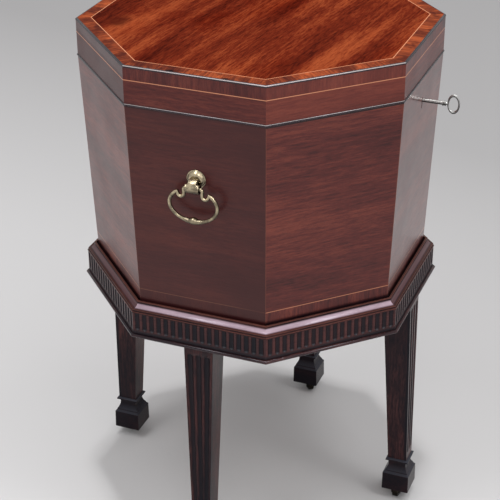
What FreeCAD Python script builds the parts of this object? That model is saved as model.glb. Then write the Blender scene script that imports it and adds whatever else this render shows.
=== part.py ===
import FreeCAD, Part

import math
import os

from FreeCAD import Vector

# A late-Georgian octagonal cellarette: a tapered, lead-lined bottle case with a hinged lid,
# a lock and two carrying handles, set down into a fluted stand on four castored legs.
# Millimetres, +Z up, origin on the floor under the middle. The front (lock side) is -Y.

# ---------------------------------------------------------------- case and lid
case_top_apothem = 229.6
case_foot_inset = 12.5
case_height = 309.0
board_thickness = 13.0
bottom_board_thickness = 12.0
bottom_board_raise = 2.0
lid_height = 54.0
lid_board_thickness = 14.0
lip_bead_height = 3.0
lip_bead_depth = 3.0
lip_bead_projection = 1.2
edge_bead_size = 2.6
edge_bead_radius = 1.6
edge_bead_projection = 0.4

# ---------------------------------------------------------------- stand
castor_clearance = 16.0
foot_block_height = 28.5
ankle_height = 26.0
leg_length = 272.0
frieze_height = 37.0
moulding_height = 14.0
seat_depth = 22.0
lip_width = 3.0
lip_height = 2.9
cove_fillet = 0.6
cove_step = 1.2
cove_step_z = 2.1
cove_foot_z = 3.9
socket_clearance = 2.8
frieze_projection = 11.7
rail_thickness = 22.0
bead_height = 4.9
bead_projection = 3.8
flutes_per_side = 18
flute_corner_margin = 1.18
flute_width = 6.3
flute_depth = 2.2
flute_foot_margin = 10.0
flute_end_slope = 1.2
flute_facets = 5

leg_top_width = 42.0
leg_top_depth = 39.6
leg_projection = 0.8
leg_foot_width = 27.6
leg_foot_depth = 28.5
leg_splay = 4.8
leg_flutes = 3
leg_flute_share = 0.22
leg_flute_depth_share = 0.066
leg_flute_pitch_share = 0.297
leg_flute_top_margin = 8.5
leg_flute_foot_margin = 13.0
leg_tenon_size = 14.0
leg_tenon_length = 22.0
glue_block_leg = 26.0
glue_block_inset = 1.0

foot_block_half = 20.4
foot_block_top_half = 20.0
foot_fillet_half = 17.4
foot_fillet_height = 1.2
foot_step_height = 3.2
ankle_hollow = 2.3
collar_projection = 3.4
collar_thickness = 3.8
collar_bevel = 1.8
recess_clearance = 0.78
recess_depth = 10.0

# ---------------------------------------------------------------- castors
wheel_radius = 7.75
wheel_width = 9.0
castor_trail = 10.0
castor_axle_radius = 1.5
castor_pivot_radius = 2.5
castor_pivot_length = 12.0
castor_socket_clearance = 0.5
castor_plate_inset = 2.5
castor_plate_thickness = 2.0
horn_cheek_thickness = 2.0
horn_cheek_gap = 0.4
horn_eye_radius = 3.0
horn_crown_reach = 5.5
horn_crown_thickness = 2.5
horn_crown_gap = 0.3
trail_angles = {"front": 180.0, "right": 215.0, "back": 30.0, "left": 160.0}

# ---------------------------------------------------------------- lining and bottle divisions
liner_thickness = 1.6
liner_rim_gap = 11.0
divider_thickness = 6.0
divider_height = 150.0
divider_offset = 67.0
divider_clearance = 0.3

# ---------------------------------------------------------------- hinges
hinge_length = 45.0
hinge_offset = 60.0
hinge_barrel_radius = 2.6
hinge_pin_radius = 1.3
hinge_standoff = 3.4
leaf_width = 11.0
leaf_thickness = 1.8
leaf_gap = 0.1
knuckle_count = 5
knuckle_gap = 0.2
barrel_clearance = 0.35

# ---------------------------------------------------------------- lock and key
key_drop = 33.8
lock_wall = 1.4
lock_play = 0.4
lock_end_play = 2.6
lock_foot_room = 2.8
lock_proud = 1.6
selvedge_lug = 7.0
selvedge_thickness = 2.0
staple_offset = 16.0
staple_thickness = 2.4
staple_width = 6.0
staple_wall = 1.2
staple_foot = 1.4
bolt_throw = 7.0
bolt_gap = 0.1
bolt_end_margin = 1.0
shelf_thickness = 2.0
bolt_thickness = 3.0
bolt_bar_drop = 17.0
bolt_bar_height = 6.0
hook_drop = 7.0
hook_height = 3.2
hook_gap = 1.0
post_width = 3.0
talon_half = 7.6
talon_depth = 2.0
tooth_width = 3.0
link_plate_thickness = 1.6
key_shaft_radius = 2.6
drill_pin_radius = 1.2
bit_reach = 8.0
bit_thickness = 2.0
bit_width = 4.0
keyhole_clearance = 0.8
keyhole_slot_clearance = 0.5
keyhole_slot_margin = 4.0
key_stand_off = 27.77
key_collar_length = 4.5
key_collar_radii = (3.9, 3.0, 3.7)
key_neck_radius = 1.5
key_neck_length = 2.75
key_bow_half_width = 8.5
key_bow_half_height = 13.0
key_bow_wire_radius = 1.15
key_tip_gap = 0.4

# ---------------------------------------------------------------- carrying handles
handle_drop = 87.3
rosette_radius = 13.2
rosette_height = 5.0
rosette_rim = 1.2
rosette_crown_margin = 0.4
rosette_bow = 0.9
handle_bolt_radius = 2.4
handle_bolt_clearance = 0.2
handle_bolt_inset = 1.0
nut_radius = 6.5
nut_height = 3.5
nut_pocket_depth = 4.5
nut_pocket_clearance = 1.0
barrel_reach = 12.2
barrel_drop = 7.2
barrel_radius = 5.5
barrel_length = 19.0
strap_thickness = 0.9
strap_width = 16.0
neck_width = 11.0
neck_rise = 4.0
neck_fall = 2.6
neck_straight = 3.0
neck_bow = 2.7
neck_throat_drop = 4.0
strap_end_angle = 18.0
bail_wire_radius = 2.15
bail_pin_depth = 6.0
bail_pin_end_gap = 0.5
bail_grip_radius = 3.9
bail_grip_length = 16.0
bail_grip_bury = 0.5
bail_knop_radius = 5.0
bail_knop_length = 4.5
bail_half_width = 33.0
bail_half_height = 23.1
bail_drop = 23.5
bail_cusp_gap = 5.1
bail_hook_radius = 4.2
bail_end_gap = 0.7
bail_bend_radius = 2.4
bail_hook_drop = 8.9
bail_hook_turn = 165.0

# ---------------------------------------------------------------- fits
running_clearance = 0.05
joinery_clearance = 0.1
overshoot = 1.0

# ---------------------------------------------------------------- levels and slopes
foot_block_z = castor_clearance
ankle_z = foot_block_z + foot_block_height
leg_z = ankle_z + ankle_height
rail_z = leg_z + leg_length
moulding_z = rail_z + frieze_height
stand_top_z = moulding_z + moulding_height
seat_z = stand_top_z - seat_depth
joint_z = seat_z + case_height
top_z = joint_z + lid_height
key_z = joint_z - key_drop
handle_z = joint_z - handle_drop
case_foot_apothem = case_top_apothem - case_foot_inset
case_slope = case_foot_inset / case_height
half_turn = 180.0
corner_tangent = math.tan(math.pi / 8)
side_names = (
    "front", "front_right", "right", "back_right", "back", "back_left", "left", "front_left",
)
leg_sides = ("front", "right", "back", "left")
up = Vector(0, 0, 1)
origin = Vector(0, 0, 0)


def case_apothem(z):
    """Distance from the middle to the outside of the case at height z."""
    return case_foot_apothem + case_slope * (z - seat_z)


def lining_apothem(z):
    """Distance from the middle to the inside of the case boards at height z."""
    return case_apothem(z) - board_thickness


# ---------------------------------------------------------------- sizes that follow from others
socket_apothem = case_apothem(stand_top_z) + socket_clearance
frieze_apothem = socket_apothem + frieze_projection
flute_pitch = 2 * (frieze_apothem * corner_tangent - flute_corner_margin) / flutes_per_side
leg_top_reach = frieze_apothem + leg_projection
leg_foot_reach = leg_top_reach + leg_splay
horn_half_width = wheel_width / 2 + horn_cheek_gap + horn_cheek_thickness
horn_heel = castor_trail + horn_eye_radius
recess_radius = math.hypot(horn_heel, horn_half_width) + recess_clearance
castor_plate_radius = recess_radius - castor_plate_inset
bolt_reach = staple_offset + staple_thickness / 2 + bolt_throw + 2 * lock_play + post_width
lock_length = 2 * (bolt_reach + lock_end_play + lock_wall)
lock_height = key_drop + bit_reach + lock_foot_room + lock_wall
lock_depth = staple_width + 2 * (lock_play + lock_wall)
lock_back = case_top_apothem - board_thickness - lock_proud
selvedge_length = lock_length + 2 * selvedge_lug
staple_reach = hook_drop + hook_height + lock_play + staple_foot
key_shaft_end = case_apothem(key_z) + key_stand_off
key_collar_end = key_shaft_end + key_collar_length
key_bow_centre = key_collar_end + key_neck_length + key_bow_half_width - key_bow_wire_radius
key_pipe_radius = drill_pin_radius + running_clearance
rosette_crown_radius = math.hypot(neck_width / 2, neck_rise) + rosette_crown_margin
bail_hook_start = barrel_length / 2 + bail_bend_radius + bail_end_gap
bail_cusp_offset = bail_hook_start + bail_hook_radius + bail_cusp_gap


def outline(start, *steps):
    """Closed face in the front side's section plane. Points are (reach, z); a pair of points
    is an arc through the first to the second."""
    def at(point):
        return Vector(0, -point[0], point[1])

    edges = []
    here = start
    for step in steps + (start,):
        if isinstance(step[0], tuple):
            edges.append(Part.Arc(at(here), at(step[0]), at(step[1])).toShape())
            here = step[1]
        elif math.dist(here, step) > 0:
            edges.append(Part.LineSegment(at(here), at(step)).toShape())
            here = step
    return Part.Face(Part.Wire(edges))


def corner_wedge(reach, z_low, z_high):
    """The eighth of the plan that belongs to the front side, between two levels."""
    half = reach * corner_tangent
    points = [Vector(0, 0, z_low), Vector(half, -reach, z_low), Vector(-half, -reach, z_low)]
    return Part.Face(Part.makePolygon(points + points[:1])).extrude(up * (z_high - z_low))


def mitred_length(section):
    """Run a section along the front side and mitre both of its ends at the corners."""
    box = section.BoundBox
    reach = -box.YMin + overshoot
    half = reach * corner_tangent
    section.translate(Vector(-half, 0, 0))
    run = section.extrude(Vector(2 * half, 0, 0))
    return run.common(corner_wedge(reach, box.ZMin - overshoot, box.ZMax + overshoot))


def turned(shape, degrees):
    """A copy of the shape turned about the middle of the part."""
    copy = shape.copy()
    copy.rotate(origin, up, degrees)
    return copy


def on_side(shape, name):
    """A copy of a piece drawn at the front, carried round to the named side."""
    return turned(shape, 45.0 * side_names.index(name))


def around(shape):
    """Eight copies, one for each side."""
    return Part.makeCompound([on_side(shape, name) for name in side_names])


def brick(x, y, z):
    """A box from three (low, high) ranges."""
    return Part.makeBox(x[1] - x[0], y[1] - y[0], z[1] - z[0], Vector(x[0], y[0], z[0]))


def centred(width):
    """The range of a width centred on zero."""
    return (-width / 2, width / 2)


def bowed(a, b, sag):
    """The middle point of an arc from a to b that bows to the right of the way by sag."""
    run = (b[0] - a[0], b[1] - a[1])
    length = math.hypot(*run)
    middle = ((a[0] + b[0]) / 2, (a[1] + b[1]) / 2)
    return (middle[0] + sag * run[1] / length, middle[1] - sag * run[0] / length)


def faceted(*rings):
    """A solid with flat sides through rings of corners, each ring listed the same way."""
    faces = [Part.Face(Part.makePolygon(ring + ring[:1])) for ring in (rings[0], rings[-1])]
    count = len(rings[0])
    for low, high in zip(rings, rings[1:]):
        for i in range(count):
            j = (i + 1) % count
            faces.append(Part.Face(Part.makePolygon([low[i], low[j], high[j], high[i], low[i]])))
    return Part.makeSolid(Part.makeShell(faces))


def octagon(apothem, z):
    """The eight corners of the plan at one level."""
    radius = apothem / math.cos(math.pi / 8)
    angles = [math.pi / 8 + i * math.pi / 4 for i in range(8)]
    return [Vector(radius * math.cos(a), radius * math.sin(a), z) for a in angles]


def octagon_block(low_apothem, low_z, high_apothem, high_z):
    """An eight-sided block, tapered where the two apothems differ."""
    return faceted(octagon(low_apothem, low_z), octagon(high_apothem, high_z))


def rod(radius, start, end):
    """A round rod between two points."""
    run = end - start
    return Part.makeCylinder(radius, run.Length, start, run)


# ---------------------------------------------------------------- stand pieces
def flute_ring(width, depth, face):
    """The section of a front flute whose face plane's middle is at face: flat facets along its
    hollow, closed proud of the wood."""
    half = width / 2
    radius = (half ** 2 + depth ** 2) / (2 * depth)
    spread = math.asin(half / radius)
    points = []
    for i in range(flute_facets + 1):
        turn = spread * (2 * i / flute_facets - 1)
        hollow = depth - radius * (1 - math.cos(turn))
        points.append(face + Vector(radius * math.sin(turn), hollow, 0))
    proud = Vector(0, -depth, 0)
    return [points[0] + proud] + points + [points[-1] + proud]


def run_out(ring, depth, direction):
    """The same section brought out of the wood by its depth, a little further on."""
    shift = Vector(0, -depth, direction * depth * flute_end_slope)
    return [point + shift for point in ring]


def flute_cutter():
    """The scoop of one frieze flute: open at the top, run out at its foot."""
    face = Vector(0, -frieze_apothem, 0)
    toe = rail_z + flute_foot_margin + flute_depth * flute_end_slope
    low = flute_ring(flute_width, flute_depth, face + up * toe)
    high = flute_ring(flute_width, flute_depth, face + up * (moulding_z + overshoot))
    return faceted(run_out(low, flute_depth, -1), low, high)


def fluted_rail():
    """The front rail of the stand: rebated for the case, with its row of flutes."""
    inner = frieze_apothem - rail_thickness
    section = outline(
        (inner, rail_z), (frieze_apothem, rail_z), (frieze_apothem, moulding_z),
        (socket_apothem, moulding_z), (socket_apothem, seat_z), (inner, seat_z),
    )
    rail = mitred_length(section)
    cutter = flute_cutter()
    first = -(flutes_per_side - 1) / 2 * flute_pitch
    cutters = []
    for i in range(flutes_per_side):
        copy = cutter.copy()
        copy.translate(Vector(first + i * flute_pitch, 0, 0))
        cutters.append(copy)
    return rail.cut(Part.makeCompound(cutters))


def top_moulding():
    """One length of the cove moulding that hides the foot of the case."""
    outer = frieze_apothem + cove_fillet
    lip = socket_apothem + lip_width
    step_z = moulding_z + cove_step_z
    cove_low = moulding_z + cove_foot_z
    cove_high = stand_top_z - lip_height
    cove_in = lip - cove_fillet
    radius = cove_high - cove_low
    foot = (cove_in + radius, cove_low)
    head = (cove_in, cove_high)
    return mitred_length(outline(
        (socket_apothem, moulding_z), (outer, moulding_z), (outer, step_z),
        (outer - cove_step, step_z), (outer - cove_step, cove_low), foot,
        (bowed(head, foot, -radius * (1 - math.sqrt(0.5))), head),
        (lip, cove_high), (lip, stand_top_z), (socket_apothem, stand_top_z),
    ))


def bottom_bead():
    """One length of the half-round bead along the foot of the frieze."""
    nose = bead_height / 2
    flat = frieze_apothem + bead_projection - nose
    return mitred_length(outline(
        (frieze_apothem, rail_z), (flat, rail_z),
        ((flat + nose, rail_z + nose), (flat, rail_z + bead_height)),
        (frieze_apothem, rail_z + bead_height),
    ))


def glue_block():
    """A triangular block rubbed into the corner between the front and front-right rails."""
    inner = frieze_apothem - rail_thickness
    corner = Vector(inner * corner_tangent, -inner, rail_z)
    along_front = corner + Vector(-glue_block_leg, 0, 0)
    lean = glue_block_leg * math.sqrt(0.5)
    along_next = corner + Vector(lean, lean, 0)
    points = [corner, along_front, along_next, corner]
    return Part.Face(Part.makePolygon(points)).extrude(up * (seat_z - rail_z - glue_block_inset))


def leg_ring(width, depth, reach, z):
    """The four corners of a front leg's section."""
    half = width / 2
    return [
        Vector(-half, -reach, z), Vector(half, -reach, z),
        Vector(half, depth - reach, z), Vector(-half, depth - reach, z),
    ]


def leg_flute_cutter(share):
    """One tapering flute, run out at both ends. share is its place across the leg."""
    rings = []
    for z in (leg_z + leg_flute_foot_margin, rail_z - leg_flute_top_margin):
        t = (z - leg_z) / leg_length
        width = leg_foot_width + (leg_top_width - leg_foot_width) * t
        reach = leg_foot_reach + (leg_top_reach - leg_foot_reach) * t
        face = Vector(share * width, -reach, z)
        rings.append(flute_ring(width * leg_flute_share, width * leg_flute_depth_share, face))
    low, high = rings
    low_depth = leg_foot_width * leg_flute_depth_share
    high_depth = leg_top_width * leg_flute_depth_share
    return faceted(run_out(low, low_depth, -1), low, high, run_out(high, high_depth, 1))


def leg():
    """The front leg: tapered, fluted outside, notched behind the rail and tenoned below."""
    body = faceted(
        leg_ring(leg_foot_width, leg_foot_depth, leg_foot_reach, leg_z),
        leg_ring(leg_top_width, leg_top_depth, leg_top_reach, rail_z),
    )
    rail_back = frieze_apothem - rail_thickness
    stump = brick(
        centred(leg_top_width), (-rail_back, leg_top_depth - leg_top_reach), (rail_z, seat_z),
    )
    middle = leg_foot_reach - leg_foot_depth / 2
    tenon = brick(
        centred(leg_tenon_size),
        (-middle - leg_tenon_size / 2, -middle + leg_tenon_size / 2),
        (leg_z - leg_tenon_length, leg_z),
    )
    body = body.fuse([stump, tenon]).removeSplitter()
    for i in range(leg_flutes):
        body = body.cut(leg_flute_cutter((i - (leg_flutes - 1) / 2) * leg_flute_pitch_share))
    return body


def foot():
    """The front spade foot: collar, coved ankle and block, all square in plan."""
    middle = leg_foot_reach - leg_foot_depth / 2
    neck = leg_foot_width / 2
    collar = neck + collar_projection
    collar_foot = leg_z - collar_thickness
    bevel_foot = leg_z - collar_bevel
    step_top = ankle_z + foot_step_height
    cove_foot = step_top + foot_fillet_height
    hollow = bowed((foot_fillet_half, cove_foot), (neck, collar_foot), -ankle_hollow)
    across = outline(
        (foot_block_half, foot_block_z), (foot_block_top_half, ankle_z),
        (foot_fillet_half, step_top), (foot_fillet_half, cove_foot),
        (hollow, (neck, collar_foot)), (collar, collar_foot), (collar, bevel_foot), (neck, leg_z),
        (-neck, leg_z), (-collar, bevel_foot), (-collar, collar_foot), (-neck, collar_foot),
        ((-hollow[0], hollow[1]), (-foot_fillet_half, cove_foot)), (-foot_fillet_half, step_top),
        (-foot_block_top_half, ankle_z), (-foot_block_half, foot_block_z),
    )
    across.translate(Vector(-2 * foot_block_half, 0, 0))
    across = across.extrude(Vector(4 * foot_block_half, 0, 0))
    block = across.common(turned(across, 90))
    recess_top = foot_block_z + recess_depth
    recess = Part.makeCylinder(recess_radius, recess_depth, Vector(0, 0, foot_block_z))
    mortise = brick(
        centred(leg_tenon_size), centred(leg_tenon_size), (leg_z - leg_tenon_length, leg_z),
    )
    socket_radius = castor_pivot_radius + castor_socket_clearance
    socket = Part.makeCylinder(socket_radius, castor_pivot_length, up * recess_top)
    block = block.cut([recess, mortise, socket])
    block.translate(Vector(0, -middle, 0))
    return block


# ---------------------------------------------------------------- castor pieces
def castor_plate():
    """The bushed plate at the top of a foot's recess, drawn about the pivot."""
    low = foot_block_z + recess_depth - castor_plate_thickness
    plate = Part.makeCylinder(castor_plate_radius, castor_plate_thickness, up * low)
    bore_radius = castor_pivot_radius + running_clearance
    return plate.cut(Part.makeCylinder(bore_radius, recess_depth, up * (low - overshoot)))


def castor_horn():
    """Pivot, crown and two cheeks that hold the wheel behind the pivot, on +X."""
    crown_top = foot_block_z + recess_depth - castor_plate_thickness - horn_crown_gap
    crown_low = crown_top - horn_crown_thickness
    start = -horn_crown_reach
    heel = horn_heel
    toe = castor_trail - horn_eye_radius
    reach = horn_half_width
    gap = reach - horn_cheek_thickness

    def at(x, z):
        return Vector(x, -reach, z)

    corners = [
        at(toe, wheel_radius), at(start, crown_low), at(start, crown_top), at(heel, crown_top),
        at(heel, wheel_radius),
    ]
    eye = Part.Arc(corners[-1], at(castor_trail, wheel_radius - horn_eye_radius), corners[0])
    edges = [Part.LineSegment(a, b).toShape() for a, b in zip(corners, corners[1:])]
    body = Part.Face(Part.Wire(edges + [eye.toShape()])).extrude(Vector(0, 2 * reach, 0))
    room = brick((start - overshoot, heel + overshoot), (-gap, gap), (0, crown_low))
    pivot = Part.makeCylinder(
        castor_pivot_radius, castor_pivot_length + horn_crown_thickness, up * crown_low
    )
    axle = rod(
        castor_axle_radius,
        Vector(castor_trail, -reach, wheel_radius), Vector(castor_trail, reach, wheel_radius),
    )
    return body.cut(room).fuse([pivot, axle]).removeSplitter()


def castor_wheel():
    """A wheel bored for its axle, drawn behind a pivot at the origin."""
    half = Vector(0, wheel_width / 2, 0)
    centre = Vector(castor_trail, 0, wheel_radius)
    tread = rod(wheel_radius, centre - half, centre + half)
    bore_radius = castor_axle_radius + running_clearance
    return tread.cut(rod(bore_radius, centre - half * 2, centre + half * 2))


def under_leg(shape, name):
    """Turn a castor piece to its trail angle and put its pivot under the named foot."""
    reach = leg_foot_reach - leg_foot_depth / 2
    angle = math.radians(45.0 * side_names.index(name) - 90.0)
    copy = turned(shape, trail_angles[name])
    copy.translate(Vector(reach * math.cos(angle), reach * math.sin(angle), 0))
    return copy


# ---------------------------------------------------------------- case pieces
def plain_stave():
    """The front board of the case: tapered, leaning outwards and mitred."""
    return mitred_length(outline(
        (lining_apothem(seat_z), seat_z), (case_apothem(seat_z), seat_z),
        (case_apothem(joint_z), joint_z), (lining_apothem(joint_z), joint_z),
    ))


def keyhole(y_low, y_high, growth):
    """The round-topped slot that the key passes, cut from y_low to y_high."""
    radius = key_shaft_radius + keyhole_clearance + growth
    half = bit_thickness / 2 + keyhole_slot_clearance + growth
    round_part = rod(radius, Vector(0, y_low, key_z), Vector(0, y_high, key_z))
    foot = key_z - bit_reach - keyhole_slot_margin - growth
    return round_part.fuse(brick((-half, half), (y_low, y_high), (foot, key_z)))


def lock_range():
    """The lock box's three ranges."""
    back = -lock_back
    return centred(lock_length), (back - lock_depth, back), (joint_z - lock_height, joint_z)


def front_stave():
    """The front board with the lock's pocket and the keyhole."""
    x, y, z = lock_range()
    fit = joinery_clearance
    top = joint_z + overshoot
    pocket = brick((x[0] - fit, x[1] + fit), (y[0] - fit, 0), (z[0] - fit, top))
    selvedge = centred(selvedge_length + 2 * fit)
    rebate = brick(selvedge, (y[0] - fit, 0), (joint_z - selvedge_thickness, top))
    return plain_stave().cut([pocket, rebate, keyhole(-case_top_apothem - overshoot, y[0], 0)])


def hinge_places():
    """The middle of each hinge along the back."""
    return (-hinge_offset, hinge_offset)


def hinge_recess(z_low, z_high):
    """Room for one row of leaves and for the barrels, drawn at the back."""
    growth = joinery_clearance
    axis_y = case_top_apothem + hinge_standoff
    cuts = []
    for x in hinge_places():
        ends = (x - hinge_length / 2 - growth, x + hinge_length / 2 + growth)
        leaf = brick(ends, (case_top_apothem - leaf_width - growth, axis_y), (z_low, z_high))
        barrel = rod(
            hinge_barrel_radius + barrel_clearance,
            Vector(ends[0], axis_y, joint_z), Vector(ends[1], axis_y, joint_z),
        )
        cuts += [leaf, barrel]
    return cuts


def back_stave():
    """The back board, let in for the hinge leaves."""
    low = joint_z - leaf_thickness - leaf_gap
    return on_side(plain_stave(), "back").cut(hinge_recess(low, joint_z + overshoot))


def on_case_face(shape, name):
    """Carry a handle piece, drawn on +X with its face plane at x = 0, to a side of the case."""
    tilt = math.degrees(math.atan(case_slope))
    copy = shape.copy()
    copy.rotate(origin, Vector(0, 1, 0), tilt)
    copy.translate(Vector(case_apothem(handle_z), 0, handle_z))
    return turned(copy, 0.0 if name == "right" else half_turn)


def handle_stave(name):
    """A side board bored for the handle bolt, with a pocket for its nut."""
    inside = -board_thickness - overshoot
    pocket_end = nut_pocket_depth - board_thickness
    hole = rod(
        handle_bolt_radius + handle_bolt_clearance, Vector(inside, 0, 0), Vector(overshoot, 0, 0)
    )
    pocket = rod(
        nut_radius + nut_pocket_clearance, Vector(inside, 0, 0), Vector(pocket_end, 0, 0)
    )
    return on_side(plain_stave(), name).cut([on_case_face(cut, name) for cut in (hole, pocket)])


def stave(name):
    """The case board of one side."""
    if name == "front":
        return front_stave()
    if name == "back":
        return back_stave()
    if name in ("left", "right"):
        return handle_stave(name)
    return on_side(plain_stave(), name)


def case_bottom():
    """The board that closes the case, a little above the foot of its sides."""
    low = seat_z + bottom_board_raise
    high = low + bottom_board_thickness
    return octagon_block(lining_apothem(low), low, lining_apothem(high), high)


def liner_floor_z():
    """Top of the bottom board, where the lead lining lies."""
    return seat_z + bottom_board_raise + bottom_board_thickness


def liner():
    """The open lead box inside the case."""
    low = liner_floor_z()
    high = joint_z - lock_height - liner_rim_gap
    outer = octagon_block(lining_apothem(low), low, lining_apothem(high), high)
    floor = low + liner_thickness
    past = high + overshoot
    inner = octagon_block(
        lining_apothem(floor) - liner_thickness, floor,
        lining_apothem(past) - liner_thickness, past,
    )
    return outer.cut(inner)


def dividers(along_x, slots_at_top):
    """Two parallel bottle boards, slotted to halve over the other two."""
    low = liner_floor_z() + liner_thickness
    high = low + divider_height
    inset = liner_thickness + divider_clearance
    room = octagon_block(lining_apothem(low) - inset, low, lining_apothem(high) - inset, high)
    middle = (low + high) / 2
    if slots_at_top:
        slot_z = (middle - joinery_clearance, high + overshoot)
    else:
        slot_z = (low - overshoot, middle)
    half = divider_thickness / 2
    slot_half = half + joinery_clearance
    boards = []
    for offset in (-divider_offset, divider_offset):
        y = (offset - half, offset + half)
        past = (y[0] - overshoot, y[1] + overshoot)
        board = brick(centred(2 * case_top_apothem), y, (low, high))
        for place in (-divider_offset, divider_offset):
            board = board.cut(brick((place - slot_half, place + slot_half), past, slot_z))
        board = board if along_x else turned(board, 90)
        boards.append(board.common(room))
    return Part.makeCompound(boards)


# ---------------------------------------------------------------- lid pieces
def lid_side():
    """The front wall of the lid, rebated along its foot for the lip bead."""
    inner = case_top_apothem - board_thickness
    rebate = case_top_apothem - lip_bead_depth
    return mitred_length(outline(
        (inner, joint_z), (rebate, joint_z), (rebate, joint_z + lip_bead_height),
        (case_top_apothem, joint_z + lip_bead_height),
        (case_top_apothem, top_z - lid_board_thickness), (inner, top_z - lid_board_thickness),
    ))


def lip_bead():
    """One length of the cocked bead round the mouth of the lid."""
    inner = case_top_apothem - lip_bead_depth
    middle = joint_z + lip_bead_height / 2
    return mitred_length(outline(
        (inner, joint_z), (case_top_apothem, joint_z),
        ((case_top_apothem + lip_bead_projection, middle),
         (case_top_apothem, joint_z + lip_bead_height)),
        (inner, joint_z + lip_bead_height),
    ))


def lid_board():
    """The top of the lid, rebated round its upper edge for the ebony bead."""
    board = octagon_block(case_top_apothem, top_z - lid_board_thickness, case_top_apothem, top_z)
    inner = case_top_apothem - edge_bead_size + edge_bead_projection
    outer = case_top_apothem + overshoot
    low = top_z - edge_bead_size
    past = top_z + overshoot
    ring = octagon_block(outer, low, outer, past)
    return board.cut(ring.cut(octagon_block(inner, low, inner, past)))


def edge_bead():
    """One length of the ebony bead round the top of the lid."""
    outer = case_top_apothem + edge_bead_projection
    inner = outer - edge_bead_size
    low = top_z - edge_bead_size
    side = (outer, top_z - edge_bead_radius)
    crown = (outer - edge_bead_radius, top_z)
    sag = edge_bead_radius * (1 - math.sqrt(0.5))
    return mitred_length(outline(
        (inner, low), (outer, low), side, (bowed(side, crown, sag), crown), (inner, top_z),
    ))


def lid_hinge_recess():
    """Room in the lid's back wall and bead for the upper leaves."""
    return hinge_recess(joint_z - overshoot, joint_z + leaf_thickness + leaf_gap)


def lid_walls():
    """All eight lid walls, let in for the hinge leaves and the link plate."""
    walls = {name: on_side(lid_side(), name) for name in side_names}
    walls["back"] = walls["back"].cut(lid_hinge_recess())
    walls["front"] = walls["front"].cut(link_plate_recess())
    return Part.makeCompound(list(walls.values()))


def lip_beads():
    """The bead round the lid's mouth, cut away for the hinges."""
    beads = {name: on_side(lip_bead(), name) for name in side_names}
    beads["back"] = beads["back"].cut(lid_hinge_recess())
    return Part.makeCompound(list(beads.values()))


# ---------------------------------------------------------------- hinge pieces
def knuckle_ranges(x):
    """The x range of each knuckle of the hinge centred on x."""
    pitch = hinge_length / knuckle_count
    start = x - hinge_length / 2
    gap = knuckle_gap / 2
    return [(start + i * pitch + gap, start + (i + 1) * pitch - gap) for i in range(knuckle_count)]


def hinge_leaves(for_lid):
    """Both leaves of one sort: the lid's above the joint, the case's below it."""
    axis_y = case_top_apothem + hinge_standoff
    low = joint_z + leaf_gap if for_lid else joint_z - leaf_gap - leaf_thickness
    leaf_z = (low, low + leaf_thickness)
    bore_clearance = running_clearance if for_lid else 0.0
    first = 1 if for_lid else 0
    leaves = []
    for x in hinge_places():
        ends = [Vector(x + side * hinge_length, axis_y, joint_z) for side in (-1, 1)]
        span = (x - hinge_length / 2, x + hinge_length / 2)
        plate_y = (case_top_apothem - leaf_width, axis_y - hinge_barrel_radius)
        plate = brick(span, plate_y, leaf_z)
        plate = plate.cut(rod(hinge_barrel_radius + barrel_clearance, *ends))
        knuckles = []
        for start, end in knuckle_ranges(x)[first::2]:
            tongue_y = (axis_y - 2 * hinge_barrel_radius, axis_y)
            knuckles.append(brick((start, end), tongue_y, leaf_z))
            knuckles.append(rod(
                hinge_barrel_radius, Vector(start, axis_y, joint_z), Vector(end, axis_y, joint_z)
            ))
        leaf = plate.fuse(knuckles).removeSplitter()
        leaves.append(leaf.cut(rod(hinge_pin_radius + bore_clearance, *ends)))
    return Part.makeCompound(leaves)


def hinge_pins():
    """The two hinge pins."""
    axis_y = case_top_apothem + hinge_standoff
    half = hinge_length / 2
    return Part.makeCompound([
        rod(hinge_pin_radius, Vector(x - half, axis_y, joint_z), Vector(x + half, axis_y, joint_z))
        for x in hinge_places()
    ])


# ---------------------------------------------------------------- lock pieces
def lock_middle_y():
    """The middle plane of the lock."""
    return -(lock_back + lock_depth / 2)


def lock_case():
    """The box lock: hollow body, selvedge with two staple slots, and the key's drill pin."""
    x, y, z = lock_range()
    body = brick(x, y, z)
    hollow = brick(
        (x[0] + lock_wall, x[1] - lock_wall), (y[0] + lock_wall, y[1] - lock_wall),
        (z[0] + lock_wall, z[1] - selvedge_thickness),
    )
    selvedge = brick(centred(selvedge_length), y, (joint_z - selvedge_thickness, joint_z))
    half = staple_thickness / 2 + lock_play
    across = staple_width / 2 + lock_play
    middle = lock_middle_y()
    slots = []
    for place in (-staple_offset, staple_offset):
        slots.append(brick(
            (place - half, place + half), (middle - across, middle + across),
            (joint_z - selvedge_thickness - overshoot, joint_z + overshoot),
        ))
    mouth = keyhole(y[0] - overshoot, y[0] + lock_wall, lock_play - keyhole_clearance)
    pin = rod(drill_pin_radius, Vector(0, y[1] - lock_wall, key_z), Vector(0, y[0], key_z))
    shelf_z = (bolt_range_z()[0] - shelf_thickness, bolt_range_z()[0] - bolt_gap)
    shelf_start = talon_half + tooth_width + bolt_throw + lock_play
    shelves = [
        brick((x[0], -shelf_start - post_width), y, shelf_z), brick((shelf_start, x[1]), y, shelf_z)
    ]
    return body.fuse(selvedge).cut([hollow, mouth] + slots).fuse([pin] + shelves)


def bolt_range_z():
    """The bottom and top of the bolt's bar."""
    top = joint_z - bolt_bar_drop + bolt_bar_height / 2
    return (top - bolt_bar_height, top)


def hook_range_z():
    """The bottom and top of the bolt's hooks."""
    top = joint_z - hook_drop
    return (top - hook_height, top)


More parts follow.
